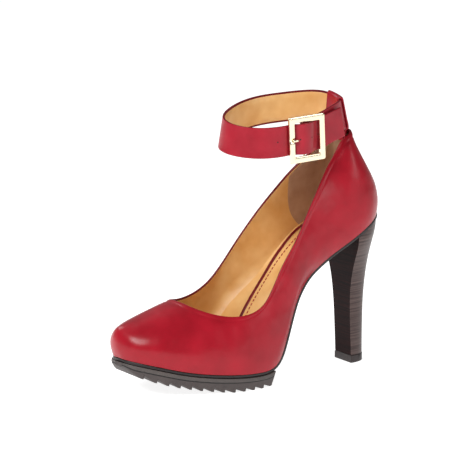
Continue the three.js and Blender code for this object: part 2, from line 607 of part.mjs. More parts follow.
function heelTip() {
  const o = TIP_STEP;
  const at = (z, g) => heelSection(TIP_HALF + g, TIP_FRONT_Y - g, TIP_BACK_Y + g, () => z);
  return rings([at(0, o - 0.5), at(0.5, o), at(TIP_THICK - 0.2, o), at(TIP_THICK, o - 0.2)]);
}

// Strap: rings across a path, thinner at the folded start.
const strapRun = [0];
STRAP.slice(1).forEach((r, i) => {
  const q = STRAP[i];
  strapRun.push(strapRun[i] + Math.hypot(r.x - q.x, r.y - q.y, r.z - q.z));
});
const strapEnd = strapRun[strapRun.length - 1];
const strapCurve = ['x', 'y', 'z', 'lean'].map((k) => curve(strapRun, STRAP.map((r) => r[k])));
const strapPoint = (t) => new THREE.Vector3(strapCurve[0](t), strapCurve[1](t), strapCurve[2](t));
function strapFrame(t) {
  const dir = strapPoint(Math.min(strapEnd, t + 0.2)).sub(strapPoint(Math.max(0, t - 0.2))).normalize();
  const p = strapPoint(t);
  const outward = new THREE.Vector3(p.x, p.y - ANKLE_MID_Y, 0).normalize();
  const up = new THREE.Vector3(0, 0, 1);
  const level = up.clone().addScaledVector(dir, -up.dot(dir)).normalize();
  const wide = level.clone().addScaledVector(outward, strapCurve[3](t)).normalize();
  const out = dir.clone().cross(wide).normalize();
  const share = clamp((t - strapRun[3]) / (strapRun[4] - strapRun[3]), 0, 1);
  return { p, dir, wide, out, thick: lerp(FOLD_THICK, STRAP_THICK, share) };
}
function strapPath(steps) {
  const marks = [];
  for (let i = 0; i < strapRun.length - 1; i++) {
    const gap = strapRun[i + 1] - strapRun[i];
    const n = Math.max(gap < 4 ? 3 : 2, Math.round(gap / steps));
    for (let k = 0; k < n; k++) marks.push(lerp(strapRun[i], strapRun[i + 1], k / n));
  }
  return [...marks, strapEnd].map(strapFrame);
}
function band(path, width) {
  return rings(path.map((r) => {
    const pt = (w, o) => r.p.clone().addScaledVector(r.wide, w * width / 2).addScaledVector(r.out, o * r.thick / 2);
    return [pt(-1, -0.55), pt(-0.985, -1), pt(0.985, -1), pt(1, -0.55), pt(1, 0.55), pt(0.985, 1), pt(-0.985, 1), pt(-1, 0.55)];
  }));
}

// Buckle frame: placed by its middle, tilt and lean.
const frameSpin = new THREE.Matrix4().makeRotationFromEuler(new THREE.Euler(FRAME_TILT, FRAME_LEAN, 0, 'XYZ'));
const frameSet = new THREE.Matrix4().makeTranslation(FRAME_X, FRAME_MID_Y, FRAME_MID_Z).multiply(frameSpin);
const placed = (body) => {
  body.pts.forEach((p) => p.applyMatrix4(frameSet));
  return body;
};
function roundRect(long, tall, r) {
  const s = new THREE.Shape();
  const a = long / 2;
  const b = tall / 2;
  s.moveTo(-a + r, -b);
  s.lineTo(a - r, -b);
  s.absarc(a - r, -b + r, r, -Math.PI / 2, 0);
  s.lineTo(a, b - r);
  s.absarc(a - r, b - r, r, 0, Math.PI / 2);
  s.lineTo(-a + r, b);
  s.absarc(-a + r, b - r, r, Math.PI / 2, Math.PI);
  s.lineTo(-a, -b + r);
  s.absarc(-a + r, -b + r, r, Math.PI, 1.5 * Math.PI);
  return s.getPoints(4);
}
function framePlate(long, tall, r, lo, hi, edge) {
  const ring = (inset, x) => roundRect(long - 2 * inset, tall - 2 * inset, Math.max(0.3, r - inset))
    .slice(0, -1).map((q) => new THREE.Vector3(x, q.x, q.y));
  return rings([ring(edge, lo), ring(0, lo + edge), ring(0, hi - edge), ring(edge, hi)]);
}
const barY = -FRAME_OUTER_LONG / 2 + FRAME_OUTER_LONG * CENTRE_BAR_SHARE;
function tube(points, radius, sides) {
  return rings(points.map((p, i) => {
    const a = points[Math.max(0, i - 1)];
    const b = points[Math.min(points.length - 1, i + 1)];
    const dir = b.clone().sub(a).normalize();
    const side = new THREE.Vector3(0, 0, 1);
    side.addScaledVector(dir, -side.dot(dir));
    if (side.length() < 0.2) side.set(1, 0, 0).addScaledVector(dir, -dir.x);
    side.normalize();
    const up = dir.clone().cross(side);
    return Array.from({ length: sides }, (_, k) => {
      const t = 2 * Math.PI * k / sides;
      return p.clone().addScaledVector(side, Math.cos(t) * radius).addScaledVector(up, Math.sin(t) * radius);
    });
  }));
}
function prongBody(radius) {
  const d = PRONG.map((_, i) => i);
  const fo = curve(d, PRONG.map((r) => r.out));
  const fa = curve(d, PRONG.map((r) => r.along));
  const pts = [];
  for (let i = 0; i <= 13; i++) {
    const t = (PRONG.length - 1) * i / 13;
    pts.push(new THREE.Vector3(-CENTRE_BAR_IN + fo(t), barY + fa(t), 0));
  }
  return placed(tube(pts, radius, 9));
}
function buckleSolid() {
  const h = FRAME_THICK / 2;
  const outer = solidOf(placed(framePlate(FRAME_OUTER_LONG, FRAME_OUTER_TALL, FRAME_CORNER, -h, h, 0.5)));
  const hole = solidOf(placed(framePlate(FRAME_OUTER_LONG - 2 * FRAME_BAR, FRAME_OUTER_TALL - 2 * FRAME_BAR, 0.8, -h - 1, h + 1, 0.1)));
  const reach = FRAME_OUTER_TALL / 2 - FRAME_BAR * 0.6;
  const bar = solidOf(placed(tube([
    new THREE.Vector3(-0.2, barY, -reach), new THREE.Vector3(-CENTRE_BAR_IN, barY, -reach + 2.6),
    new THREE.Vector3(-CENTRE_BAR_IN, barY, reach - 2.6), new THREE.Vector3(-0.2, barY, reach),
  ], CENTRE_BAR_RADIUS, 14)));
  const notch = solidOf(prongBody(PRONG_RADIUS + PRONG_CLEAR));
  return outer.subtract(hole).add(bar).subtract(notch);
}

// Loop at the back: rises from inside the neck, passes over the strap and down inside it.
function loopBody() {
  const mid = strapRun[STRAP.findIndex((r) => r.x === 0)];
  const off = (STRAP_THICK + LOOP_THICK) / 2 + FIT_GAP;
  const top = STRAP_WIDTH / 2 + FIT_GAP + LOOP_THICK / 2;
  const list = [];
  const n = 10;
  for (let i = 0; i <= n; i++) {
    const u = lerp(-1, 1, i / n);
    const q = strapFrame(mid - u * LOOP_HALF);
    const a = u * LOOP_FOOT_ANGLE;
    const sign = q.out.y > 0 ? 1 : -1;
    const onStrap = (o, w) => q.p.clone().addScaledVector(q.out, sign * o).addScaledVector(q.wide, w);
    const inNeck = (r, z) => new THREE.Vector3(r * Math.sin(a), LOOP_FOOT_MID_Y + r * Math.cos(a), z);
    const inner = LOOP_FOOT_RADIUS - LOOP_THICK - FIT_GAP;
    const line = [
      inNeck(LOOP_FOOT_RADIUS, LOOP_FOOT_Z), inNeck(LOOP_FOOT_RADIUS, LOOP_NECK_Z),
      onStrap(off, -STRAP_WIDTH / 2), onStrap(off, 0), onStrap(off, top - 1.4), onStrap(off - 0.5, top - 0.4),
      onStrap(0, top), onStrap(0.5 - off, top - 0.4), onStrap(-off, top - 1.4), onStrap(-off, 0),
      onStrap(-off, -STRAP_WIDTH / 2), inNeck(inner, LOOP_NECK_Z), inNeck(inner, LOOP_FOOT_Z),
    ];
    const face = (side) => line.map((p, j) => {
      const run = line[Math.min(line.length - 1, j + 1)].clone().sub(line[Math.max(0, j - 1)]);
      const nrm = run.cross(q.dir).normalize();
      return p.clone().addScaledVector(nrm, side * LOOP_THICK / 2);
    });
    list.push([...face(1), ...face(-1).reverse()]);
  }
  return rings(list);
}

const group = new THREE.Group();
group.name = 'ankle_strap_pump';
const looks = {
  upper: { color: 0xa01a2c, roughness: 0.38, metalness: 0 },
  insole: { color: 0xc9995a, roughness: 0.5, metalness: 0 },
  plate: { color: 0x2b2322, roughness: 0.6, metalness: 0 },
  rubber: { color: 0x4a4440, roughness: 0.7, metalness: 0 },
  heel: { color: 0x3a2522, roughness: 0.42, metalness: 0 },
  tip: { color: 0x453c3b, roughness: 0.6, metalness: 0 },
  strap: { color: 0xa31c30, roughness: 0.4, metalness: 0 },
  metal: { color: 0xe2d3ae, roughness: 0.2, metalness: 1 },
};
function add(name, geometry, look) {
  const mesh = new THREE.Mesh(geometry, new THREE.MeshStandardMaterial(looks[look]));
  mesh.name = name;
  group.add(mesh);
}

const upperBody = orient(gridSolid(upperColumns(61), OUTER_ROWS, INNER_ROWS));
add('upper', geometryOf(upperBody), 'upper');
add('insole', geometryOf(footbed()), 'insole');
add('sole_plate', geometryOf(layer(SEAT_BACK_Y - 0.7, toeStation + 0.3, -PLATE_INSET,
  FIT_GAP, FIT_GAP + PLATE_THICK, 0.35)), 'plate');
add('outsole', geometryOf(soleUnit()), 'rubber');
add('heel', geometryOf(heelBody()), 'heel');
add('heel_top_piece', geometryOf(heelTip()), 'tip');
add('strap_loop', geometryOf(loopBody()), 'strap');
const strapSolid = solidOf(band(strapPath(4.6), STRAP_WIDTH)).subtract(solidOf(prongBody(PRONG_RADIUS + PRONG_CLEAR)));
add('ankle_strap', geometryOfSolid(strapSolid), 'strap');
add('buckle_frame', geometryOfSolid(buckleSolid()), 'metal');
add('buckle_prong', geometryOf(prongBody(PRONG_RADIUS)), 'metal');

export default group;
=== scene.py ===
# %% [markdown]
# # An ankle strap pump
# A high heeled court shoe in smooth red leather, with a strap round the ankle, a ridged rubber
# forefoot and a stacked leather heel. Every piece is made over the imported CAD model, which is
# loaded first and fixes all the sizes.

# %% Load the frame
import math
import bpy
import bmesh
import numpy as np
from mathutils import Matrix, Vector


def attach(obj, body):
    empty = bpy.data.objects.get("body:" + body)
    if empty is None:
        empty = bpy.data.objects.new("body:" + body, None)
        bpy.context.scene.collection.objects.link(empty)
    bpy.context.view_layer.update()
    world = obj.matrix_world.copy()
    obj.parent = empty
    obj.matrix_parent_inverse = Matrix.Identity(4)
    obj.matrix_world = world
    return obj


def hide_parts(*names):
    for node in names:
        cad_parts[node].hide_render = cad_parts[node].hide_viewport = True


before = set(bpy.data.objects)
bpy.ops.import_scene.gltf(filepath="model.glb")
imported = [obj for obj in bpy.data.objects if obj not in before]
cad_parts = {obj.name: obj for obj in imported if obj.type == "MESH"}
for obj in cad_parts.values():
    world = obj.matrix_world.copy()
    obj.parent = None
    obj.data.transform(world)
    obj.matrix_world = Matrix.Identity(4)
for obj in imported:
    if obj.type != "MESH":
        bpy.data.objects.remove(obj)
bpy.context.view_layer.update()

# %% [markdown]
# ## The view
# The photograph was taken from the outer front quarter, a little above the shoe and from far
# away. A long lens gives the same flat perspective. The place, aim and roll were worked out
# from the perspective of the photograph. The camera is turned straight towards the shoe, with
# a hair of roll, so that no lens shift is needed.

# %% Camera
CAMERA_AT = Vector((1.4428, -0.9828, 0.4277))
CAMERA_AIM = Vector((-0.00912, -0.10446, 0.11103))
CAMERA_LENS = 191.5
CAMERA_ROLL = -0.0042

view = bpy.data.objects.new("camera", bpy.data.cameras.new("camera"))
bpy.context.scene.collection.objects.link(view)
forward = (CAMERA_AIM - CAMERA_AT).normalized()
level = forward.cross(Vector((0, 0, 1))).normalized()
upright = level.cross(forward)
right = level * math.cos(CAMERA_ROLL) + upright * math.sin(CAMERA_ROLL)
above = upright * math.cos(CAMERA_ROLL) - level * math.sin(CAMERA_ROLL)
turn = Matrix((right, above, -forward)).transposed().to_4x4()
view.matrix_world = Matrix.Translation(CAMERA_AT) @ turn
view.data.lens = CAMERA_LENS
view.data.sensor_width = 36
view.data.clip_end = 20
bpy.context.scene.camera = view
print("camera looks along", [round(v, 3) for v in forward])

# %% [markdown]
# ## The studio
# The shoe stands on white with hardly a shadow. A pale floor that glows a little and a dim
# even surrounding give that, and the floor also shows in the leather as wide soft sheens low
# down. Three large soft lights add the brighter patches on the toe and the vamp. The plain
# standard view transform keeps the crimson deep.

# %% Floor and lights
def soft_light(name, place, aim, size, power):
    lamp = bpy.data.lights.new(name, "AREA")
    lamp.shape = "RECTANGLE"
    lamp.size, lamp.size_y = size
    lamp.energy = power
    holder = bpy.data.objects.new(name, lamp)
    bpy.context.scene.collection.objects.link(holder)
    holder.location = place
    holder.rotation_euler = (Vector(aim) - Vector(place)).to_track_quat("-Z", "Y").to_euler()
    return holder


def node_of(tree, kind, place=(0, 0), **settings):
    node = tree.nodes.new(kind)
    node.location = place
    for key, value in settings.items():
        setattr(node, key, value)
    return node


FLOOR_HALF, PAPER_TONE, PAPER_GLOW, ROOM_LIGHT = 9.0, 0.7, 0.85, 0.22
floor_mesh = bpy.data.meshes.new("floor")
floor_mesh.from_pydata(
    [(-FLOOR_HALF, -FLOOR_HALF, 0), (FLOOR_HALF, -FLOOR_HALF, 0),
     (FLOOR_HALF, FLOOR_HALF, 0), (-FLOOR_HALF, FLOOR_HALF, 0)], [], [(0, 1, 2, 3)])
floor = bpy.data.objects.new("floor", floor_mesh)
bpy.context.scene.collection.objects.link(floor)
paper = bpy.data.materials.new("studio_paper")
paper.use_nodes = True
paper_shader = paper.node_tree.nodes["Principled BSDF"]
paper_shader.inputs["Base Color"].default_value = (PAPER_TONE, PAPER_TONE, PAPER_TONE, 1)
paper_shader.inputs["Emission Color"].default_value = (1, 1, 1, 1)
paper_shader.inputs["Emission Strength"].default_value = PAPER_GLOW
paper_shader.inputs["Roughness"].default_value = 0.9
floor_mesh.materials.append(paper)

world = bpy.data.worlds.new("studio")
bpy.context.scene.world = world
bpy.context.scene.view_settings.view_transform = "Standard"
world.use_nodes = True
world.node_tree.nodes["Background"].inputs["Color"].default_value = (1, 1, 1, 1)
world.node_tree.nodes["Background"].inputs["Strength"].default_value = ROOM_LIGHT
soft_light("key", (0.55, -1.45, 1.35), (0, -0.09, 0.08), (0.9, 0.7), 27)
soft_light("side", (1.5, 0.75, 0.8), (0, -0.05, 0.1), (0.5, 0.9), 5.5)
soft_light("far", (-1.3, -0.5, 1.2), (0, -0.06, 0.12), (0.8, 0.8), 8)
print("floor", FLOOR_HALF * 2, "m wide, three soft lights")

# %% [markdown]
# ## Sizes of the last
# A shoe is built on a last, a solid foot shape, and its sizes are written as short tables:
# the underside line, how wide the sole and the body are along the length, the back seam, the
# toe and the top edge. They are the same tables as the CAD source has, in millimetres, so
# the leather drawn here lies exactly where the solid is.

# %% Last tables
SHOE_LENGTH, SEAT_BACK_Y, HEEL_HEIGHT, BALL_HALF = 218, 17, 114.4, 43
UPPER_WALL, FIT_GAP, PLATE_THICK = 1.8, 0.3, 2
MM = 0.001

BOTTOM = {
    "y": [-0.02, 0, 0.041, 0.078, 0.115, 0.151, 0.216, 0.28, 0.326, 0.362, 0.399, 0.44, 0.477,
          0.511, 0.541, 0.573, 0.619, 0.677, 0.752, 0.824, 0.89, 0.95, 1.01],
    "z": [1.009, 1, 0.964, 0.926, 0.885, 0.843, 0.775, 0.701, 0.638, 0.576, 0.5, 0.382, 0.268,
          0.18, 0.134, 0.113, 0.1075, 0.1145, 0.134, 0.161, 0.1932, 0.2203, 0.246],
}
SKEW = {
    "y": [0.2, 0.31, 0.362, 0.422, 0.468, 0.514, 0.583, 0.68, 0.77, 0.9],
    "k": [0, 0, 0.03, 0.15, 0.26, 0.29, 0.25, 0.1, 0.0, 0],
}
WIDTH_Y = [-0.02, 0.1, 0.17, 0.216, 0.284, 0.33, 0.362, 0.399, 0.445, 0.491, 0.537, 0.583, 0.628,
           0.674, 0.72, 0.766, 0.812, 0.858, 0.904, 0.95, 1.0]
FEATHER = {
    "y": WIDTH_Y,
    "outer": [0.572, 0.57, 0.558, 0.55, 0.553, 0.583, 0.635, 0.712, 0.805, 0.887, 0.946, 0.976,
              0.982, 0.944, 0.892, 0.832, 0.768, 0.704, 0.648, 0.6, 0.555],
    "inner": [0.572, 0.57, 0.545, 0.512, 0.477, 0.48, 0.502, 0.55, 0.632, 0.725, 0.815, 0.882,
              0.921, 0.93, 0.906, 0.862, 0.804, 0.738, 0.67, 0.612, 0.56],
}
BODY = {
    "y": WIDTH_Y,
    "outer": [0.63, 0.633, 0.628, 0.622, 0.638, 0.68, 0.728, 0.793, 0.872, 0.938, 0.982, 1.0,
              0.998, 0.968, 0.922, 0.866, 0.807, 0.75, 0.7, 0.66, 0.63],
    "inner": [0.63, 0.63, 0.612, 0.598, 0.59, 0.608, 0.64, 0.695, 0.775, 0.857, 0.922, 0.962,
              0.978, 0.973, 0.945, 0.898, 0.842, 0.784, 0.73, 0.685, 0.65],
}
RIDGE = {
    "y": [0.0, 0.1, 0.147, 0.179, 0.234, 0.294, 0.339, 0.39, 0.431, 0.468, 0.505, 0.541, 0.583,
          0.628, 0.67, 0.706, 0.739, 0.762, 0.798, 0.844, 0.899, 0.95, 1.0],
    "z": [1.78, 1.66, 1.56, 1.486, 1.405, 1.35, 1.3, 1.225, 1.14, 1.035, 0.93, 0.83, 0.738,
          0.658, 0.604, 0.575, 0.556, 0.543, 0.524, 0.498, 0.468, 0.442, 0.417],
}
BACK = {
    "z": [0.99, 1.06, 1.10, 1.18, 1.246, 1.329, 1.416, 1.469, 1.54],
    "y": [17, 17.2, 16.6, 14.1, 10.3, 4.7, -0.9, -3.5, -5.2],
    "round": [29, 29.5, 29, 28, 26.5, 24, 20.5, 18, 15],
}
TOE = {
    "z": [0.2, 0.25, 0.31, 0.367, 0.42, 0.455, 0.49],
    "y": [-198.3, -199.9, -201, -200.2, -197.6, -193.5, -187],
}
TOE_ROUND, SECTION_POWER, UNDERCUT_HEIGHT, TOE_STATION = 30, 3, 15, -198.6
TOPLINE_OUTER = [
    (0, -5, 175.2), (7.9, -9.2, 173.7), (11, -16.8, 169.8), (13.5, -23, 162.5), (17, -31.8, 152.4),
    (21.6, -45, 135), (26.5, -57.2, 118), (31.5, -67.8, 103), (36, -77, 91), (38.5, -86.5, 78),
    (39, -95, 67), (38.2, -103, 59), (36.8, -111, 55), (34.4, -120.5, 53.6), (30.6, -130, 54.4),
    (25, -138.5, 56.4), (14.5, -145.8, 59), (0, -148.6, 60.4),
]
TOPLINE_INNER = [
    (0, -5, 175.2), (7.9, -9.2, 173.7), (11, -18, 169.8), (13, -27, 163.2), (16, -38.5, 153),
    (19.5, -53.2, 136), (24, -65.8, 119.5), (29, -76, 104), (33.5, -84, 91), (36.6, -91.8, 79),
    (37.5, -100, 69.5), (36.8, -109, 62.8), (35, -117.5, 59), (32, -126, 57.2), (27.5, -134, 56.8),
    (21.5, -140.6, 57.6), (12, -146.4, 59.4), (0, -148.6, 60.4),
]


def curve(xs, ys):
    """Smooth curve through table points, straight beyond the ends."""
    xs, ys = np.asarray(xs, float), np.asarray(ys, float)
    count, step = len(xs), np.diff(xs)
    system, load = np.zeros((count, count)), np.zeros(count)
    system[0, 0] = system[-1, -1] = 1
    for i in range(1, count - 1):
        system[i, i - 1:i + 2] = step[i - 1], 2 * (step[i - 1] + step[i]), step[i]
        load[i] = 6 * ((ys[i + 1] - ys[i]) / step[i] - (ys[i] - ys[i - 1]) / step[i - 1])
    bend = np.linalg.solve(system, load)
    first = (ys[1] - ys[0]) / step[0] - step[0] * (2 * bend[0] + bend[1]) / 6
    last = (ys[-1] - ys[-2]) / step[-1] + step[-1] * (bend[-2] + 2 * bend[-1]) / 6

    def value(x):
        x = np.asarray(x, float)
        i = np.clip(np.searchsorted(xs, x) - 1, 0, count - 2)
        inside = np.clip(x, xs[0], xs[-1])
        a = (xs[i + 1] - inside) / step[i]
        b = (inside - xs[i]) / step[i]
        y = a * ys[i] + b * ys[i + 1]
        y = y + ((a ** 3 - a) * bend[i] + (b ** 3 - b) * bend[i + 1]) * step[i] ** 2 / 6
        return y + np.minimum(x - xs[0], 0) * first + np.maximum(x - xs[-1], 0) * last
    return value


def over_length(table, key, scale):
    line = curve(table["y"], table[key])
    return lambda y: scale * line((SEAT_BACK_Y - np.asarray(y, float)) / SHOE_LENGTH)


def over_height(table, key):
    levels = np.array(table["z"]) * HEEL_HEIGHT
    line = curve(levels, table[key])
    return lambda z: line(np.clip(z, levels[0], levels[-1]))


bottom_at = over_length(BOTTOM, "z", HEEL_HEIGHT)
skew_at = over_length(SKEW, "k", 1)
ridge_at = over_length(RIDGE, "z", HEEL_HEIGHT)
feather_outer = over_length(FEATHER, "outer", BALL_HALF)
feather_inner = over_length(FEATHER, "inner", BALL_HALF)
body_outer = over_length(BODY, "outer", BALL_HALF)
body_inner = over_length(BODY, "inner", BALL_HALF)
back_y = over_height(BACK, "y")
back_round = over_height(BACK, "round")
toe_y = over_height(TOE, "y")
print("underside at the ball:", round(float(bottom_at(-118)), 2), "mm")

# %% [markdown]
# ## The shape of the last
# From the tables comes one rule: at any place along the shoe and any height, how far the
# leather stands out from the middle. Cross sections are squarish, tuck in to the sole, and
# round off at the heel and the toe. The same rule serves the leather, the lining and the sole.

# %% Last surface
def feather_at(side, y):
    return np.where(side > 0, feather_outer(y), feather_inner(y))


def body_at(side, y):
    return np.where(side > 0, body_outer(y), body_inner(y))


END_POWER, END_ROOT = 2.2, 2.05


def rounding(u):
    v = np.clip(u, 0, 1)
    return np.clip(1 - (1 - v) ** END_POWER, 0, 1) ** (1 / END_ROOT)


def ends_at(y, z):
    return rounding((back_y(z) - y) / back_round(z)) * rounding((y - toe_y(z)) / TOE_ROUND)


def half_width(side, y, z):
    low = bottom_at(y - side * skew_at(y) * feather_at(side, y))
    rise = z - low
    tau = np.clip(rise / (ridge_at(y) - low), 0, 1)
    body = body_at(side, y)
    cut = 1 - feather_at(side, y) / body
    under = 1 - cut * np.maximum(0, 1 - rise / UNDERCUT_HEIGHT) ** 2
    return body * under * np.sqrt(np.maximum(0, 1 - tau ** SECTION_POWER)) * ends_at(y, z)


def inside_width(side, y, z, depth):
    gy = (half_width(side, y + 0.3, z) - half_width(side, y - 0.3, z)) / 0.6
    gz = (half_width(side, y, z + 0.3) - half_width(side, y, z - 0.3)) / 0.6
    return np.maximum(0, half_width(side, y, z) - depth * np.sqrt(1 + gy ** 2 + gz ** 2))


def slope_at(s):
    return bottom_at(s + 0.5) - bottom_at(s - 0.5)


def side_point(side, s, out=0.0, drop=0.0):
    """Point of the sole outline at station s, out sideways and dropped square to the sole."""
    s = np.asarray(s, float)
    y = s
    for _ in range(8):
        y = s + side * skew_at(y) * feather_at(side, y)
    z, g = bottom_at(s), slope_at(s)
    q = drop / np.sqrt(1 + g ** 2)
    x = side * np.maximum(0, feather_at(side, y) * ends_at(y, z) + out)
    return np.stack(np.broadcast_arrays(x, y + g * q, z - q), axis=-1)


def run_of(points):
    return np.concatenate([[0], np.cumsum(np.linalg.norm(np.diff(points, axis=0), axis=1))])


def along(points, marks):
    """Points at the given distances along a line of points."""
    run = run_of(points)
    return np.stack([np.interp(marks, run, points[:, k]) for k in range(3)], axis=-1)


def even(points, count):
    return along(points, np.linspace(0, run_of(points)[-1], count))


print("half width at the ball:", round(float(half_width(1, -115, 30)), 2), "mm")

# %% [markdown]
# ## From points to a piece
# Every shell below is a net of points in rows. This helper joins the net into quads, turns
# them outwards, marks the hard edges and puts the object in the scene in metres, with its
# origin at the world origin.

# %% Mesh helpers
def piece(name, points, faces, finishes, which=None, sharp=35, turn_out=True):
    mesh = bpy.data.meshes.new(name)
    mesh.from_pydata([tuple(float(v) * MM for v in p) for p in points], [], faces)
    for finish in finishes:
        mesh.materials.append(finish)
    if which is not None:
        mesh.polygons.foreach_set("material_index", np.asarray(which, dtype=np.int32))
    work = bmesh.new()
    work.from_mesh(mesh)
    bmesh.ops.remove_doubles(work, verts=work.verts, dist=1e-6)
    bmesh.ops.dissolve_degenerate(work, edges=work.edges, dist=1e-7)
    if turn_out:
        bmesh.ops.recalc_face_normals(work, faces=work.faces)
    work.to_mesh(mesh)
    work.free()
    mesh.polygons.foreach_set("use_smooth", np.ones(len(mesh.polygons), dtype=bool))
    mesh.set_sharp_from_angle(angle=math.radians(sharp))
    made = bpy.data.objects.new(name, mesh)
    bpy.context.scene.collection.objects.link(made)
    print(name, len(mesh.polygons), "faces")
    return made


def hand_over(made, slot, *nodes):
    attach(made, "root")
    if nodes:
        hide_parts(*nodes)
    return made


def net_faces(rows, columns, wrap_rows=False, wrap_columns=False):
    """Quads of a net stored row by row."""
    faces = []
    for i in range(rows if wrap_rows else rows - 1):
        for j in range(columns if wrap_columns else columns - 1):
            a, b = (i + 1) % rows, (j + 1) % columns
            faces.append((i * columns + j, a * columns + j, a * columns + b, i * columns + b))
    return faces


def loft(list_of_rings):
    """Closed body from rings of equal length with a cap at both ends."""
    rings = np.array(list_of_rings)
    count, size = rings.shape[:2]
    faces = net_faces(count, size, wrap_columns=True)
    caps = [tuple(range(size - 1, -1, -1)), tuple((count - 1) * size + k for k in range(size))]
    return rings.reshape(-1, 3), faces + caps, size


# %% [markdown]
# ## Leather, lining and suede
# Smooth leather has a fine pore grain, a soft patchiness in its colour and a low polish with
# a thin clear finish on top. The grain is a bump far too small to count, so it is only a
# texture in the shader. The lining is the same skin without the clear finish, and the suede
# of the heel grip has a nap instead, which a little sheen and a rough bump give.

# %% Finish helper
def shade(r, g, b):
    """A screen colour, each part 0 to 255, turned into scene light."""
    light = [((v / 255 + 0.055) / 1.055) ** 2.4 if v > 10 else v / 255 / 12.92 for v in (r, g, b)]
    return (*light, 1.0)


def hide_finish(name, deep, light, patch, grain, grain_depth, rough, wave=0.0, **fixed):
    """Base colour drifts between two tones, roughness drifts, and a fine grain is bumped."""
    made = bpy.data.materials.new(name)
    made.use_nodes = True
    tree = made.node_tree
    shader = tree.nodes["Principled BSDF"]
    for key, value in fixed.items():
        shader.inputs[key.replace("_", " ")].default_value = value
    where = node_of(tree, "ShaderNodeTexCoord", (-1100, 0))
    drift = node_of(tree, "ShaderNodeTexNoise", (-880, 200))
    drift.inputs["Scale"].default_value = 1 / (patch * MM)
    drift.inputs["Detail"].default_value = 3
    tree.links.new(where.outputs["Object"], drift.inputs["Vector"])
    tones = node_of(tree, "ShaderNodeValToRGB", (-640, 260))
    tones.color_ramp.elements[0].position, tones.color_ramp.elements[1].position = 0.3, 0.7
    tones.color_ramp.elements[0].color, tones.color_ramp.elements[1].color = deep, light
    tree.links.new(drift.outputs["Fac"], tones.inputs["Fac"])
    tree.links.new(tones.outputs["Color"], shader.inputs["Base Color"])
    polish = node_of(tree, "ShaderNodeMapRange", (-640, 0))
    polish.inputs["To Min"].default_value, polish.inputs["To Max"].default_value = rough
    tree.links.new(drift.outputs["Fac"], polish.inputs["Value"])
    tree.links.new(polish.outputs["Result"], shader.inputs["Roughness"])
    pores = node_of(tree, "ShaderNodeTexVoronoi", (-880, -260))
    pores.inputs["Scale"].default_value = 1 / (grain * MM)
    tree.links.new(where.outputs["Object"], pores.inputs["Vector"])
    bump = node_of(tree, "ShaderNodeBump", (-640, -260))
    bump.inputs["Strength"].default_value = 1.0
    bump.inputs["Distance"].default_value = grain_depth * MM
    tree.links.new(pores.outputs["Distance"], bump.inputs["Height"])
    last = bump
    if wave:
        swell = node_of(tree, "ShaderNodeTexNoise", (-880, -520))
        swell.inputs["Scale"].default_value = 1 / (patch * 0.8 * MM)
        swell.inputs["Detail"].default_value = 1
        tree.links.new(where.outputs["Object"], swell.inputs["Vector"])
        broad = node_of(tree, "ShaderNodeBump", (-400, -400))
        broad.inputs["Distance"].default_value = wave * MM
        tree.links.new(swell.outputs["Fac"], broad.inputs["Height"])
        tree.links.new(bump.outputs["Normal"], broad.inputs["Normal"])
        last = broad
    tree.links.new(last.outputs["Normal"], shader.inputs["Normal"])
    return made


red_leather = hide_finish("red_leather", shade(150, 9, 28), shade(170, 15, 36), 18, 0.55, 0.012,
                          (0.27, 0.38), wave=0.9, Specular_IOR_Level=0.28,
                          Coat_Weight=0.07, Coat_Roughness=0.25)
strap_leather = hide_finish("strap_leather", shade(150, 14, 34), shade(168, 22, 42), 15, 0.5, 0.014,
                            (0.32, 0.44), wave=0.4, Specular_IOR_Level=0.3,
                            Coat_Weight=0.08, Coat_Roughness=0.3)
edge_leather = hide_finish("edge_leather", shade(96, 4, 18), shade(118, 8, 24), 9, 0.4, 0.01,
                           (0.4, 0.55), Specular_IOR_Level=0.25)
tan_lining = hide_finish("tan_lining", shade(224, 168, 98), shade(240, 194, 128), 16, 0.6, 0.012,
                         (0.38, 0.52), wave=1.1, Coat_Weight=0.1, Coat_Roughness=0.3)
pale_edge = hide_finish("pale_edge", shade(222, 176, 116), shade(236, 196, 140), 8, 0.4, 0.01,
                        (0.5, 0.6))
suede_grip = hide_finish("suede_grip", shade(168, 128, 98), shade(188, 150, 120), 12, 0.35, 0.06,
                         (0.9, 1.0), Sheen_Weight=0.35, Sheen_Roughness=0.5)
print("leathers ready")

# %% [markdown]
# ## The upper
# The upper is cut flat, sewn at the back and pulled over the last, so it takes the shape of
# the last. Here columns of points run from the sole edge to the top edge, pushed out until
# they meet the last. The inner wall is the same net, moved in along its own normal. Near the
# top edge the rows are close together, because the leather is folded over there and the fold
# leaves a soft ridge and a faint trough along the whole opening.

# %% Columns of the upper
SIDE_COLUMNS = 88
EDGE_ROWS = np.array([0, 0.45, 1.0, 1.7, 2.5, 3.3, 4.1, 4.9, 5.8, 7.2, 9.5])
BODY_ROWS = 26


def feather_line(side, count):
    t = (1 - np.cos(np.pi * np.linspace(0, 1, 401))) / 2
    front = float(toe_y(bottom_at(-198)))
    points = side_point(side, SEAT_BACK_Y + (front - SEAT_BACK_Y) * t)
    points[0, 0] = points[-1, 0] = 0
    return even(points, count)


def top_line(side, count):
    rows = np.array(TOPLINE_OUTER if side > 0 else TOPLINE_INNER, float)
    run = run_of(rows)
    t = np.linspace(0, run[-1], 301)
    points = np.stack([curve(run, rows[:, k])(t) for k in range(3)], axis=-1)
    points[:, 0] = side * np.maximum(0, points[:, 0])
    return even(points, count)


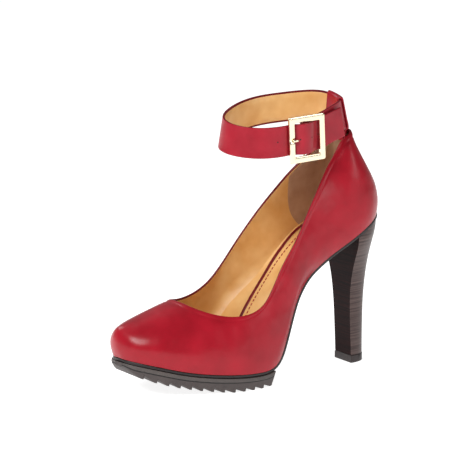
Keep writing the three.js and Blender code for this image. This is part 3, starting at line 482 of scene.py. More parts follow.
def wall_columns(side):
    feet, tops = feather_line(side, SIDE_COLUMNS + 1), top_line(side, SIDE_COLUMNS + 1)
    ahead = np.vstack([feet[1:], feet[-1:]])
    behind = np.vstack([feet[:1], feet[:-1]])
    go = ahead - behind
    out = np.stack([side * -go[:, 1], side * go[:, 0], np.zeros(len(go))], axis=-1)
    out[0], out[-1] = (0, 1, 0), (0, -1, 0)
    out /= np.linalg.norm(out, axis=1, keepdims=True)
    chord = tops - feet
    lean = np.maximum(0, -(chord * out).sum(axis=1))
    push = out * np.maximum(8, chord[:, 2])[:, None]
    push[:, 2] += lean
    push /= np.linalg.norm(push, axis=1, keepdims=True)
    levels = np.linspace(0, 1, 61)[1:]
    base = feet[:, None] + chord[:, None] * levels[None, :, None]

    def inside(steps):
        p = base + push[:, None] * steps[..., None]
        sides = np.where(p[..., 0] == 0, side, np.sign(p[..., 0]))
        return half_width(sides, p[..., 1], p[..., 2]) > np.abs(p[..., 0]) + 1e-6

    reach = np.full(base.shape[:2], np.nan)
    entered = np.zeros(base.shape[:2], bool)
    for step in range(-14, 27):
        hit = inside(np.full(base.shape[:2], float(step)))
        reach = np.where(entered & ~hit & np.isnan(reach), step - 1.0, reach)
        entered |= hit
    reach = np.where(entered & np.isnan(reach), 25.0, reach)
    low, high = reach.copy(), reach + 1
    for _ in range(22):
        mid = (low + high) / 2
        hit = inside(np.nan_to_num(mid))
        low, high = np.where(hit, mid, low), np.where(hit, high, mid)
    points = base + push[:, None] * np.where(np.isnan(reach), 0, low)[..., None]
    return [np.vstack([feet[i:i + 1], points[i]]) for i in range(len(feet))]


def rows_of(column):
    """Rows from the foot to the top, with close rows under the top edge."""
    length = run_of(column)[-1]
    close = EDGE_ROWS * min(1, length / 30)
    lower = np.linspace(0, length - close[-1], BODY_ROWS)[:-1]
    return along(column, np.concatenate([lower, (length - close)[::-1]]))


columns = [rows_of(c) for c in wall_columns(1)]
columns += [rows_of(c) for c in wall_columns(-1)[::-1][1:-1]]
outer_net = np.array(columns)
print("upper net", outer_net.shape)

# %% Leather shell
def net_normals(net):
    around = np.roll(net, -1, axis=0) - np.roll(net, 1, axis=0)
    up = np.empty_like(net)
    up[:, 1:-1] = net[:, 2:] - net[:, :-2]
    up[:, 0], up[:, -1] = net[:, 1] - net[:, 0], net[:, -1] - net[:, -2]
    normal = np.cross(up, around)
    return normal / np.maximum(1e-9, np.linalg.norm(normal, axis=2, keepdims=True))


FOLD_WIDTH, FOLD_TROUGH, TROUGH_RUN = 4.3, 0.28, 0.75
BEAD_PLACE, FOLD_BEAD, BEAD_RUN = 2.4, 0.12, 1.2
EDGE_ROLL, EDGE_RUN, LINING_ROLL, LINING_RUN, RIM_RISE = 0.35, 0.5, 0.3, 0.6, 0.22
net_out = net_normals(outer_net)
from_top = np.array([run_of(c[::-1])[::-1] for c in outer_net])
fold = FOLD_BEAD * np.exp(-((from_top - BEAD_PLACE) / BEAD_RUN) ** 2)
fold -= FOLD_TROUGH * np.exp(-((from_top - FOLD_WIDTH) / TROUGH_RUN) ** 2)
edge_roll = -EDGE_ROLL * np.exp(-(from_top / EDGE_RUN) ** 2)
leather_net = outer_net + net_out * (fold + edge_roll)[..., None]
inner_net = outer_net - net_out * UPPER_WALL
lining_roll = LINING_ROLL * np.exp(-(from_top / LINING_RUN) ** 2)
lining_net = inner_net + net_out * lining_roll[..., None]
rim = (leather_net[:, -1] + lining_net[:, -1]) / 2 + np.array([0, 0, RIM_RISE])

ring_list = []
for col in range(len(leather_net)):
    ring_list.append(np.vstack([leather_net[col], rim[col:col + 1], lining_net[col][::-1]]))
shell = np.array(ring_list)
around_count, ring_size = shell.shape[:2]
shell_faces = net_faces(around_count, ring_size, wrap_rows=True, wrap_columns=True)
top_row = leather_net.shape[1] - 1
shell_which = []
NECK_COLUMNS, NECK_ROWS = 7, 10
for k in range(len(shell_faces)):
    column_now, step = divmod(k, ring_size)
    at_neck = min(column_now, around_count - 1 - column_now) < NECK_COLUMNS
    if step < top_row or (at_neck and step < top_row + NECK_ROWS):
        shell_which.append(0)
    elif step <= top_row + 3:
        shell_which.append(1)
    elif step <= top_row + 5:
        shell_which.append(2)
    else:
        shell_which.append(3)
upper = piece("upper_leather", shell.reshape(-1, 3), shell_faces,
              [red_leather, edge_leather, pale_edge, tan_lining], shell_which, sharp=60)
hand_over(upper, "upper_leather", "upper")

# %% [markdown]
# ## The heel grip
# Inside the back of a pump a piece of suede keeps the heel from slipping. It is glued over
# the lining and skived thin at its front edge. It is made as a thin sheet that follows the
# inner wall, and its front edge is a short table of places, one for each height.

# %% Suede grip
GRIP_EDGE = {"z": [96, 103, 115, 129, 145, 176], "y": [-24, -33, -41, -43.8, -45.8, -47]}
GRIP_COLUMNS, GRIP_LIFT, GRIP_SUNK, GRIP_LOW_Z = 30, 0.35, 0.1, 118
SKIVE_RATE, SKIVE_THIN = 14, 0.25
grip_line = curve(GRIP_EDGE["z"], GRIP_EDGE["y"])


def wall_at(net, position, row):
    """Point of a net at a fractional column, counted either way from the back seam."""
    low = int(math.floor(position))
    share = position - low
    size = len(net)
    return net[low % size, row] * (1 - share) + net[(low + 1) % size, row] * share


def grip_reach(side, row):
    for k in range(1, SIDE_COLUMNS):
        p = lining_net[(side * k) % len(lining_net), row]
        if p[1] < grip_line(p[2]):
            q = lining_net[(side * (k - 1)) % len(lining_net), row]
            a, b = q[1] - grip_line(q[2]), p[1] - grip_line(p[2])
            return k - 1 + a / (a - b)
    return SIDE_COLUMNS - 1.0


grip_rows = [r for r in range(6, lining_net.shape[1] - 5) if lining_net[0, r, 2] > GRIP_LOW_Z]
front, back = [], []
for r in grip_rows:
    reach_outer, reach_inner = grip_reach(1, r), grip_reach(-1, r)
    for k in range(2 * GRIP_COLUMNS + 1):
        u = k / GRIP_COLUMNS - 1
        at = u * (reach_outer if u > 0 else reach_inner)
        p, n = wall_at(lining_net, at, r), wall_at(net_out, at, r)
        skive = min(1, (1 - abs(u)) * SKIVE_RATE + SKIVE_THIN)
        front.append(p - n * GRIP_LIFT * skive)
        back.append(p + n * GRIP_SUNK)
width = 2 * GRIP_COLUMNS + 1
tall = len(grip_rows)
grip_faces = net_faces(tall, width)
offset = tall * width
grip_faces += [tuple(offset + v for v in f[::-1]) for f in net_faces(tall, width)]
border = list(range(width)) + [r * width + width - 1 for r in range(1, tall)]
border += [(tall - 1) * width + k for k in range(width - 2, -1, -1)]
border += [r * width for r in range(tall - 2, 0, -1)]
for a, b in zip(border, border[1:] + border[:1]):
    grip_faces.append((a, b, offset + b, offset + a))
grip = piece("heel_grip", front + back, grip_faces, [suede_grip], sharp=50)
hand_over(grip, "sock_leather")

# %% [markdown]
# ## The sock and the footbed
# The floor inside is a dished insole covered with the lining skin. On top of it lies the
# sock, a strip of the same skin with a dark red bound edge and a row of red stitches beside
# it. The floor is a lofted body; the sock is a second thin one, and its edge narrows towards
# the ball so that it shows as a line running down inside the shoe. The upper edge of the
# floor is let into the lining, so that no slit shows between floor and wall.

# %% Footbed
INSOLE_THICK, INSOLE_SIDE_GAP, INSOLE_BACK_Y, INSOLE_BACK_RUN = 2.4, 0.45, 14.9, 13
BED_TUCK, BED_REACH, BED_INTO_WALL = 0.7, 4, 0.5
FOOTBED = {
    "y": [-0.02, 0.06, 0.15, 0.21, 0.245, 0.275, 0.305, 0.335, 0.365, 0.39, 0.425, 0.47, 0.6, 1],
    "edge": [8.6, 9.6, 11.4, 12.3, 11.5, 10, 8.3, 6.6, 5, 4, 3.3, 3, 3, 3],
    "mid": [5.4, 5.6, 6, 6, 5.6, 5, 4.4, 3.8, 3.2, 2.9, 2.7, 2.6, 2.6, 2.6],
}
edge_lift, mid_lift = over_length(FOOTBED, "edge", 1), over_length(FOOTBED, "mid", 1)
lining_points = lining_net.reshape(-1, 3)
LINING_SIDES = {1: lining_points[lining_points[:, 0] >= 0], -1: lining_points[lining_points[:, 0] <= 0]}


class BedSection:
    """One cross section of the footbed at station s."""

    def __init__(self, s):
        self.s = s
        self.a, self.b = side_point(1, s), side_point(-1, s)
        wide = self.a[0] - self.b[0]
        self.k = (self.a[1] - self.b[1]) / wide if wide > 1 else 0
        self.g = float(slope_at(s))
        back = min(1, max(0, 1 - (INSOLE_BACK_Y - s) / INSOLE_BACK_RUN)) ** 2.5
        self.edge = float(edge_lift(s))
        self.mid = float(mid_lift(s)) * (1 - back) + (self.edge - 0.5) * back
        self.low_half = {}
        self.half = {side: self.find_half(side) for side in (1, -1)}

    def at(self, x, lift):
        n = math.hypot(1, self.g)
        y = self.a[1] - self.k * self.a[0] + self.k * x - self.g * lift / n
        return np.array([x, y, self.a[2] + lift / n])

    def find_half(self, side):
        best = []
        for lift in (self.edge, self.edge - INSOLE_THICK):
            x = side * 10.0
            for _ in range(12):
                p = self.at(x, lift)
                x = side * float(inside_width(side, p[1], p[2], UPPER_WALL + INSOLE_SIDE_GAP))
            best.append(max(0.3, abs(x)))
        self.low_half[side] = min(best)
        inner = min(best) + BED_TUCK
        edge = self.at(side * inner, self.edge)
        wall = LINING_SIDES[side]
        gap = np.hypot(wall[:, 1] - edge[1], wall[:, 2] - edge[2])
        near = np.argsort(gap)[:4]
        weight = 1 / (gap[near] + 0.2)
        wall_x = float((np.abs(wall[near, 0]) * weight).sum() / weight.sum())
        return min(inner + BED_REACH, max(inner, wall_x + BED_INTO_WALL))

    def lift(self, f):
        return self.mid + (self.edge - self.mid) * abs(f) ** 3.5

    def top(self, x, above=0.0):
        half = self.half[1 if x > 0 else -1]
        return self.at(x, self.lift(min(1, abs(x) / half)) + above)


share = (1 - np.cos(np.pi * np.linspace(0, 1, 90))) / 2
bed_stations = INSOLE_BACK_Y + (TOE_STATION + 2.4 - INSOLE_BACK_Y) * share
bed = [BedSection(float(s)) for s in bed_stations]
across = np.linspace(-1, 1, 33)
rings = []
for sec in bed:
    tops = [sec.at(f * sec.half[1 if f > 0 else -1], sec.lift(f)) for f in across]
    lows = [sec.at(f * sec.low_half[1 if f > 0 else -1], max(0, sec.lift(f) - INSOLE_THICK))
            for f in across[::-1]]
    rings.append(np.array(tops + lows))
points, faces, _ = loft(rings)
footbed = piece("footbed", points, faces, [tan_lining], sharp=60)
hand_over(footbed, "sock_leather", "insole")

# %% Sock
SOCK_LINE = {  # y and half width of the sock, mm
    "y": [-190, -170, -150, -125, -100, -89, -79, -70, -63, -56, -48, -40, -30, -10, 15],
    "half": [8, 11, 13, 14, 14.2, 14.3, 14.9, 16.8, 18.9, 20.6, 21.9, 22.8, 23.6, 24.5, 24.5],
}
sock_half = curve(SOCK_LINE["y"], SOCK_LINE["half"])
SOCK_LIFT, SOCK_SINK, SOCK_GAP, SOCK_OUTER_MORE, SOCK_FRONT_Y = 0.6, -0.3, 0.25, 1.2, -188
BINDING_WIDTH, BINDING_TALL, STITCH_IN = 3.2, 0.5, 6.2


def sock_width(sec, side):
    y = sec.at(0, 0)[1]
    return min(sec.half[side] - SOCK_GAP, float(sock_half(y)) + (SOCK_OUTER_MORE if side > 0 else 0))


sock_sections = [sec for sec in bed if sec.s < INSOLE_BACK_Y - 0.2 and sec.s > SOCK_FRONT_Y]
profile = [-1.0] + list(np.linspace(-1, 1, 25)) + [1.0]
rings = []
for sec in sock_sections:
    ring = []
    for n, f in enumerate(profile):
        side = 1 if f > 0 else -1
        w = max(0.2, sock_width(sec, side))
        rise = SOCK_LIFT * min(1, (1 - abs(f)) * w / 0.4 + 0.5)
        ring.append(sec.top(f * w, SOCK_SINK if n in (0, len(profile) - 1) else rise))
    for f in np.linspace(1, -1, 9)[1:-1]:
        side = 1 if f > 0 else -1
        ring.append(sec.top(f * max(0.2, sock_width(sec, side)), SOCK_SINK))
    rings.append(np.array(ring))
points, faces, _ = loft(rings)
sock = piece("sock", points, faces, [tan_lining], sharp=70)
hand_over(sock, "sock_leather")


def sock_edge(inset, above):
    """Two open lines, one along each side of the sock, at a distance in from its edge."""
    lines = []
    for side in (1, -1):
        line = []
        for sec in sock_sections:
            w = sock_width(sec, side) - inset
            if w > 0.4:
                line.append(sec.top(side * w, above))
        lines.append(np.array(line))
    return lines


def cord_tube(line, wide, tall, sides=10):
    """Flattened cord along an open line, with closed ends."""
    rings = []
    for i, p in enumerate(line):
        go = line[min(len(line) - 1, i + 1)] - line[max(0, i - 1)]
        go = go / np.linalg.norm(go)
        across_it = np.cross(go, (0, 0, 1))
        across_it /= np.linalg.norm(across_it)
        lift = np.cross(across_it, go)
        end = 0.3 if i in (0, len(line) - 1) else 1
        a = np.linspace(0, 2 * np.pi, sides, endpoint=False)
        rings.append(p + end * (np.outer(np.cos(a), across_it) * wide + np.outer(np.sin(a), lift) * tall))
    return loft(rings)


for label, line in zip(("outer", "inner"), sock_edge(BINDING_WIDTH / 2, SOCK_LIFT - 0.05)):
    points, faces, _ = cord_tube(even(line, 150), BINDING_WIDTH / 2, BINDING_TALL)
    binding = piece("sock_binding_" + label, points, faces, [edge_leather], sharp=80)
    hand_over(binding, "sock_leather")

# %% [markdown]
# ## Stitches
# A stitch row is one small shape repeated along a line, which is what Geometry Nodes are
# for. The line becomes a curve, points are set on it a stitch apart, a short bead of thread
# is laid on each point along the curve, and the beads are made real. The tree's inputs are
# the pitch, the length of a stitch and the thickness of the thread.

# %% Stitch tree
def socket_id(tree, label):
    return next(i.identifier for i in tree.interface.items_tree
                if i.item_type == "SOCKET" and i.in_out == "INPUT" and i.name == label)


def stitch_tree(finish):
    tree = bpy.data.node_groups.new("stitch_row", "GeometryNodeTree")
    face = tree.interface
    face.new_socket(name="Geometry", in_out="INPUT", socket_type="NodeSocketGeometry")
    for label, value in (("Pitch", 0.0026), ("Stitch Length", 0.0018), ("Thread", 0.0005)):
        face.new_socket(name=label, in_out="INPUT", socket_type="NodeSocketFloat").default_value = value
    face.new_socket(name="Geometry", in_out="OUTPUT", socket_type="NodeSocketGeometry")
    start, end = node_of(tree, "NodeGroupInput"), node_of(tree, "NodeGroupOutput", (1200, 0))
    to_curve = node_of(tree, "GeometryNodeMeshToCurve", (200, 0))
    to_points = node_of(tree, "GeometryNodeCurveToPoints", (400, 0), mode="LENGTH")
    bead = node_of(tree, "GeometryNodeMeshUVSphere", (200, -250))
    bead.inputs["Segments"].default_value, bead.inputs["Rings"].default_value = 8, 6
    bead.inputs["Radius"].default_value = 0.5
    size = node_of(tree, "ShaderNodeCombineXYZ", (400, -250))
    lay = node_of(tree, "GeometryNodeInstanceOnPoints", (600, 0))
    real = node_of(tree, "GeometryNodeRealizeInstances", (800, 0))
    colour = node_of(tree, "GeometryNodeSetMaterial", (1000, 0))
    colour.inputs["Material"].default_value = finish
    link = tree.links.new
    link(start.outputs["Geometry"], to_curve.inputs["Mesh"])
    link(to_curve.outputs["Curve"], to_points.inputs["Curve"])
    link(start.outputs["Pitch"], to_points.inputs["Length"])
    link(start.outputs["Thread"], size.inputs["X"])
    link(start.outputs["Thread"], size.inputs["Y"])
    link(start.outputs["Stitch Length"], size.inputs["Z"])
    link(to_points.outputs["Points"], lay.inputs["Points"])
    link(to_points.outputs["Rotation"], lay.inputs["Rotation"])
    link(bead.outputs["Mesh"], lay.inputs["Instance"])
    link(size.outputs["Vector"], lay.inputs["Scale"])
    link(lay.outputs["Instances"], real.inputs["Geometry"])
    link(real.outputs["Geometry"], colour.inputs["Geometry"])
    link(colour.outputs["Geometry"], end.inputs["Geometry"])
    return tree


def made_plain(holder, name):
    """Turn the result of a modifier into a plain mesh on a new object."""
    graph = bpy.context.evaluated_depsgraph_get()
    mesh = bpy.data.meshes.new_from_object(holder.evaluated_get(graph))
    mesh.name = name
    old = holder.data
    holder.modifiers.clear()
    bpy.data.objects.remove(holder)
    bpy.data.meshes.remove(old)
    mesh.polygons.foreach_set("use_smooth", np.ones(len(mesh.polygons), dtype=bool))
    made = bpy.data.objects.new(name, mesh)
    bpy.context.scene.collection.objects.link(made)
    print(name, len(mesh.polygons), "faces")
    return made


def thread_row(name, line, tree, sizes):
    mesh = bpy.data.meshes.new(name + "_line")
    mesh.from_pydata([tuple(float(v) * MM for v in p) for p in line],
                     [(i, i + 1) for i in range(len(line) - 1)], [])
    holder = bpy.data.objects.new(name + "_line", mesh)
    bpy.context.scene.collection.objects.link(holder)
    rule = holder.modifiers.new("stitches", "NODES")
    rule.node_group = tree
    for label, value in sizes.items():
        rule[socket_id(tree, label)] = value * MM
    return made_plain(holder, name)


red_thread = hide_finish("red_thread", shade(150, 30, 28), shade(170, 44, 38), 3, 0.2, 0.02,
                         (0.6, 0.75))
stitch_rule = stitch_tree(red_thread)
for label, line in zip(("outer", "inner"), sock_edge(STITCH_IN, SOCK_LIFT + 0.08)):
    row = thread_row("sock_stitches_" + label, even(line, 200), stitch_rule,
                     {"Pitch": 3.2, "Stitch Length": 2.5, "Thread": 0.95})
    hand_over(row, "sock_leather")

# %% [markdown]
# ## The sole plate
# Between the upper and the heel or the rubber runs a thin plate, set in a little under the
# upper. Its edge is painted near black, which is painted shade of that recess. Under the waist
# its smooth grey face is the sole itself. It is a flat layer that follows the underside, with
# softened edges, and its edge and its face have different finishes.

# %% Plate finishes and body
# Near black finish of the plate's edge: painted shade in the recess under the upper.
recess_shade_edge = hide_finish("recess_shade_edge", shade(26, 20, 20), shade(38, 30, 30), 6, 0.3, 0.008,
                         (0.35, 0.5))
waist_sole = hide_finish("waist_sole", shade(98, 90, 86), shade(112, 104, 100), 14, 0.4, 0.01,
                         (0.36, 0.5), wave=0.1)
PLATE_INSET, PLATE_BEVEL = 0.5, 0.35
t = (1 - np.cos(np.pi * np.linspace(0, 1, 120))) / 2
plate_stations = (SEAT_BACK_Y - 0.7) + (TOE_STATION + 0.3 - SEAT_BACK_Y + 0.7) * t
top, base = FIT_GAP, FIT_GAP + PLATE_THICK
corner = 0.3 * PLATE_BEVEL
layers = [(-PLATE_INSET - PLATE_BEVEL, top), (-PLATE_INSET - corner, top + corner),
          (-PLATE_INSET, top + PLATE_BEVEL), (-PLATE_INSET, base - PLATE_BEVEL),
          (-PLATE_INSET - corner, base - corner), (-PLATE_INSET - PLATE_BEVEL, base)]
rings = np.concatenate([
    np.stack([side_point(1, plate_stations, out, drop) for out, drop in layers], axis=1),
    np.stack([side_point(-1, plate_stations, out, drop) for out, drop in layers[::-1]], axis=1),
], axis=1)
points, faces, size = loft(rings)
# The bottom face takes the grey sole; all other faces, the edge among them, the painted shade.
which = [1 if k % size == len(layers) - 1 else 0 for k in range(len(faces) - 2)] + [0, 0]
plate = piece("sole_plate_dressed", points, faces, [recess_shade_edge, waist_sole], which, sharp=50)
hand_over(plate, "plate", "sole_plate")

# %% [markdown]
# ## The rubber forefoot
# The forefoot is one moulded rubber unit: a lip under the upper, a groove, a wall that
# leans in, and teeth across the underside like a saw, each with a small flat land, a sloped
# front and an almost upright rear. The lip gets a paler copy of the rubber, a painted
# highlight on its edge, and the groove a near black copy, painted shade in the recess. Rows of
# the loft are set at every corner of a tooth, with a second row close beside it for the
# moulded radius.

# %% Rubber finishes
rubber_wall = hide_finish("rubber_wall", shade(58, 49, 48), shade(72, 63, 61), 8, 0.5, 0.02,
                          (0.5, 0.68))
# Paler copy of the rubber for the lip: a painted highlight.
rubber_lip_highlight = hide_finish("rubber_lip_highlight", shade(70, 63, 61), shade(82, 75, 72), 8, 0.4, 0.015,
                         (0.45, 0.6))
# Near black copy of the rubber for the groove: painted shade.
rubber_groove_shade = hide_finish("rubber_groove_shade", shade(24, 20, 20), shade(34, 29, 28), 8, 0.4, 0.01,
                            (0.6, 0.8))
print("rubber finishes ready")

# %% Toothed unit
LIP_OUT, LIP_HEIGHT, GROOVE_DEPTH, GROOVE_HEIGHT, SIDE_DRAFT = 0.7, 2.6, 0.9, 0.7, 1.8
TOOTH_COUNT, TOOTH_FIRST_Y, TOOTH_PITCH, TOOTH_DEPTH = 13, -190.2, 7.85, 2.9
TOOTH_LAND, TOOTH_REAR_RUN, TOOTH_RADIUS = 1.6, 0.35, 0.14
TOE_BEVEL_Y, TOE_START_UP, TOE_BEVEL_RUN, TOE_BEVEL_UP = -198.4, 4.6, 4.2, 2.2
OUTSOLE_END_Y, OUTSOLE_REAR_Z, OUTSOLE_END_THICK = -92.8, 5.4, 1.2
TREAD = {
    "y": [-199, -190.2, -181.6, -172, -164, -156, -148, -140, -132, -126, -100, -94.9, -88.1, -80],
    "z": [17, 14.2, 11.1, 8.2, 6.1, 4.4, 2.9, 1.7, 0.6, 0, 0, 0.5, 2, 4],
}
under_plate = FIT_GAP * 2 + PLATE_THICK
tread_at = curve(TREAD["y"], TREAD["z"])


def on_line(y):
    return y - float(skew_at(y) * feather_outer(y))


marks = [(TOE_BEVEL_Y, TOE_START_UP), (TOOTH_FIRST_Y - TOE_BEVEL_RUN, TOE_BEVEL_UP)]
for i in range(TOOTH_COUNT):
    tip = TOOTH_FIRST_Y + i * TOOTH_PITCH
    if i:
        marks.append((tip - TOOTH_PITCH + TOOTH_LAND + TOOTH_REAR_RUN, TOOTH_DEPTH))
    marks += [(tip, 0), (tip + TOOTH_LAND, 0)]
tread_rows = [(on_line(y), max(0, float(tread_at(y))) + up) for y, up in marks]
end = on_line(OUTSOLE_END_Y)
end_slope = math.hypot(1, float(slope_at(end)))
tread_rows.append((on_line(marks[-1][0] + TOOTH_REAR_RUN), OUTSOLE_REAR_Z))
tread_rows.append((end, float(bottom_at(end)) - (under_plate + OUTSOLE_END_THICK) * end_slope))
fine_rows = [tread_rows[0]]
for (s0, z0), (s1, z1) in zip(tread_rows, tread_rows[1:]):
    gap = s1 - s0
    cuts = [TOOTH_RADIUS / gap, 1 - TOOTH_RADIUS / gap] if gap > 5 * TOOTH_RADIUS else []
    cuts += list(np.linspace(0, 1, int(gap / 1.3) + 2)[1:-1])
    fine_rows += [(s0 + gap * c, z0 + (z1 - z0) * c) for c in sorted(cuts)]
    fine_rows.append((s1, z1))
rings = []
for s, z in fine_rows:
    tilt = math.hypot(1, float(slope_at(s)))
    depth = (float(bottom_at(s)) - under_plate * tilt - z) / tilt
    lip, slot = min(LIP_HEIGHT, depth * 0.4), min(GROOVE_HEIGHT, depth * 0.15)
    draft = -SIDE_DRAFT * min(1, depth / 10)
    steps = [(LIP_OUT - 0.25, under_plate), (LIP_OUT, under_plate + 0.25),
             (LIP_OUT, under_plate + lip - 0.25), (LIP_OUT - 0.2, under_plate + lip),
             (LIP_OUT - GROOVE_DEPTH, under_plate + lip + slot * 0.4),
             (-0.2, under_plate + lip + slot), (-0.35, under_plate + lip + slot + 0.3)]
    halves = []
    for side in (1, -1):
        half = [side_point(side, s, out, drop) for out, drop in steps]
        foot = side_point(side, s, draft, 0)
        foot[2] = z
        near = foot + (half[-1] - foot) * min(0.5, 0.35 / max(0.7, depth))
        near[2] = z + min(0.3, depth * 0.1)
        soft = foot.copy()
        soft[0] -= side * 0.25
        halves.append(half + [near, soft])
    rings.append(np.array(halves[0] + halves[1][::-1]))
points, faces, size = loft(rings)
# Lip faces take the painted highlight, groove faces the painted shade.
which = []
for k in range(len(faces) - 2):
    n = k % size
    n = min(n, size - 2 - n) if n < size - 1 else -1
    which.append(1 if 0 <= n < 3 else 2 if 3 <= n < 6 else 0)
which += [0, 0]
outsole = piece("rubber_forefoot", points, faces, [rubber_wall, rubber_lip_highlight, rubber_groove_shade], which, sharp=28)
hand_over(outsole, "sole_rubber", "outsole")

# %% [markdown]
# ## The heel
# A stacked heel looks like many thin layers of leather glued on top of each other. Its
# section has a flat front and a rounded back. The body is one loft, and the layers are fine
# level lines in the finish: a noise stretched sideways until only its levels are left, so
# that no two lines are alike. The flat front gets a darker, matt copy of the same finish,
# which is painted shade for the face turned away from the light; the side keeps the lighter,
# glossier copy.

# %% Stacked leather finish
LAYER_HEIGHT = 1.6


def stacked_finish(name, deep, light, specular, coat):
    made = bpy.data.materials.new(name)
    made.use_nodes = True
    tree = made.node_tree
    shader = tree.nodes["Principled BSDF"]
    shader.inputs["Specular IOR Level"].default_value = specular
    shader.inputs["Coat Weight"].default_value = coat
    shader.inputs["Coat Roughness"].default_value = 0.2
    where = node_of(tree, "ShaderNodeTexCoord", (-1300, 0))
    stretch = node_of(tree, "ShaderNodeMapping", (-1100, 0))
    stretch.inputs["Scale"].default_value = (0.02, 0.02, 1)
    tree.links.new(where.outputs["Object"], stretch.inputs["Vector"])
    layers = node_of(tree, "ShaderNodeTexNoise", (-880, 120))
    layers.inputs["Scale"].default_value = 1 / (LAYER_HEIGHT * MM)
    layers.inputs["Detail"].default_value = 4
    layers.inputs["Roughness"].default_value = 0.7
    tree.links.new(stretch.outputs["Vector"], layers.inputs["Vector"])
    tones = node_of(tree, "ShaderNodeValToRGB", (-640, 200))
    tones.color_ramp.elements[0].position, tones.color_ramp.elements[1].position = 0.38, 0.66
    tones.color_ramp.elements[0].color, tones.color_ramp.elements[1].color = deep, light
    tree.links.new(layers.outputs["Fac"], tones.inputs["Fac"])
    tree.links.new(tones.outputs["Color"], shader.inputs["Base Color"])
    polish = node_of(tree, "ShaderNodeMapRange", (-640, -60))
    polish.inputs["To Min"].default_value, polish.inputs["To Max"].default_value = 0.3, 0.5
    tree.links.new(layers.outputs["Fac"], polish.inputs["Value"])
    tree.links.new(polish.outputs["Result"], shader.inputs["Roughness"])
    bump = node_of(tree, "ShaderNodeBump", (-400, -200))
    bump.inputs["Distance"].default_value = 0.05 * MM
    tree.links.new(layers.outputs["Fac"], bump.inputs["Height"])
    tree.links.new(bump.outputs["Normal"], shader.inputs["Normal"])
    return made


# Lit and shaded copies of one finish: the front's darker, matt copy is painted shade.
stacked_leather = stacked_finish("stacked_leather", shade(58, 42, 40), shade(98, 80, 76),
                                 specular=0.2, coat=0.1)
painted_shade_front = stacked_finish("painted_shade_front", shade(16, 3, 4), shade(44, 18, 17),
                               specular=0.05, coat=0.0)
tip_rubber = hide_finish("tip_rubber", shade(34, 22, 22), shade(46, 33, 32), 6, 0.4, 0.015,
                         (0.45, 0.6))
print("heel finishes ready")

# %% Heel and top piece
TIP_HALF, TIP_FRONT_Y, TIP_BACK_Y, TIP_THICK, TIP_STEP, HEEL_POWER = 10.5, -7.5, 7.5, 5.6, 0.25, 2.15
HEEL = {
    "s": [0, 0.06, 0.25, 0.42, 0.55, 0.66, 0.77, 0.86, 0.94, 1],
    "half": [10.4, 10.4, 10.5, 10.9, 12, 14, 17.3, 20.6, 23.1, 23.7],
    "front": [-7.5, -7.7, -8.4, -9, -9.4, -9.6, -9.8, -9.8, -9.8, -9.8],
    "back": [7.5, 7.5, 7.8, 8.4, 9.5, 10.8, 12.6, 14.5, 15.9, 16.1],
}


HEEL_ARC, HEEL_FACE = 60, 9  # steps round the back, points between the corners in front


def heel_section(half, front, back, height):
    a = np.pi * np.linspace(0, 1, HEEL_ARC + 1)
    c = np.cos(a)
    x = half * np.sign(c) * np.abs(c) ** (2 / HEEL_POWER)
    y = front + (back - front) * np.sin(a) ** (2 / HEEL_POWER)
    fx = np.linspace(-half, half, HEEL_FACE + 2)[1:-1]
    x, y = np.concatenate([x, fx]), np.concatenate([y, np.full(HEEL_FACE, float(front))])
    return np.stack([x, y, height(y)], axis=-1)


def seat_under(y):
    return bottom_at(y) - (PLATE_THICK + 2 * FIT_GAP) * np.sqrt(1 + slope_at(y) ** 2)


heel_half, heel_front, heel_back = (curve(HEEL["s"], HEEL[k]) for k in ("half", "front", "back"))
foot = TIP_THICK + FIT_GAP
rings = []
for s in np.linspace(0, 1, 70):
    rings.append(heel_section(heel_half(s), heel_front(s), heel_back(s),
                              lambda y, s=s: foot + (seat_under(y) - foot) * s))
points, faces, size = loft(rings)
# Faces of the flat front take the darker copy, the painted shade.
heel_which = []
for face in faces:
    in_front = all(i % size == 0 or i % size >= HEEL_ARC for i in face)
    heel_which.append(1 if in_front and len(face) == 4 else 0)
heel = piece("stacked_heel", points, faces, [stacked_leather, painted_shade_front], heel_which, sharp=45)
hand_over(heel, "stacked_heel", "heel")
rings = []
for z, grow in ((0, TIP_STEP - 0.5), (0.2, TIP_STEP - 0.15), (0.5, TIP_STEP),
                (TIP_THICK - 0.2, TIP_STEP), (TIP_THICK, TIP_STEP - 0.2)):
    rings.append(heel_section(TIP_HALF + grow, TIP_FRONT_Y - grow, TIP_BACK_Y + grow,
                              lambda y, z=z: np.full_like(y, float(z))))
points, faces, _ = loft(rings)
tip_piece = piece("heel_tip", points, faces, [tip_rubber], sharp=40)
hand_over(tip_piece, "top_piece", "heel_top_piece")

# %% [markdown]
# ## The strap
# The strap is red leather lined with tan, with the red turned over its edges. It starts as a
# thinned end folded round the buckle's middle bar, goes back round the ankle inside the loop,
# and comes through the buckle to a square cut end. A strap keeps its width and bends only
# one way, so it is drawn as a flat section carried along a path, not as cloth.

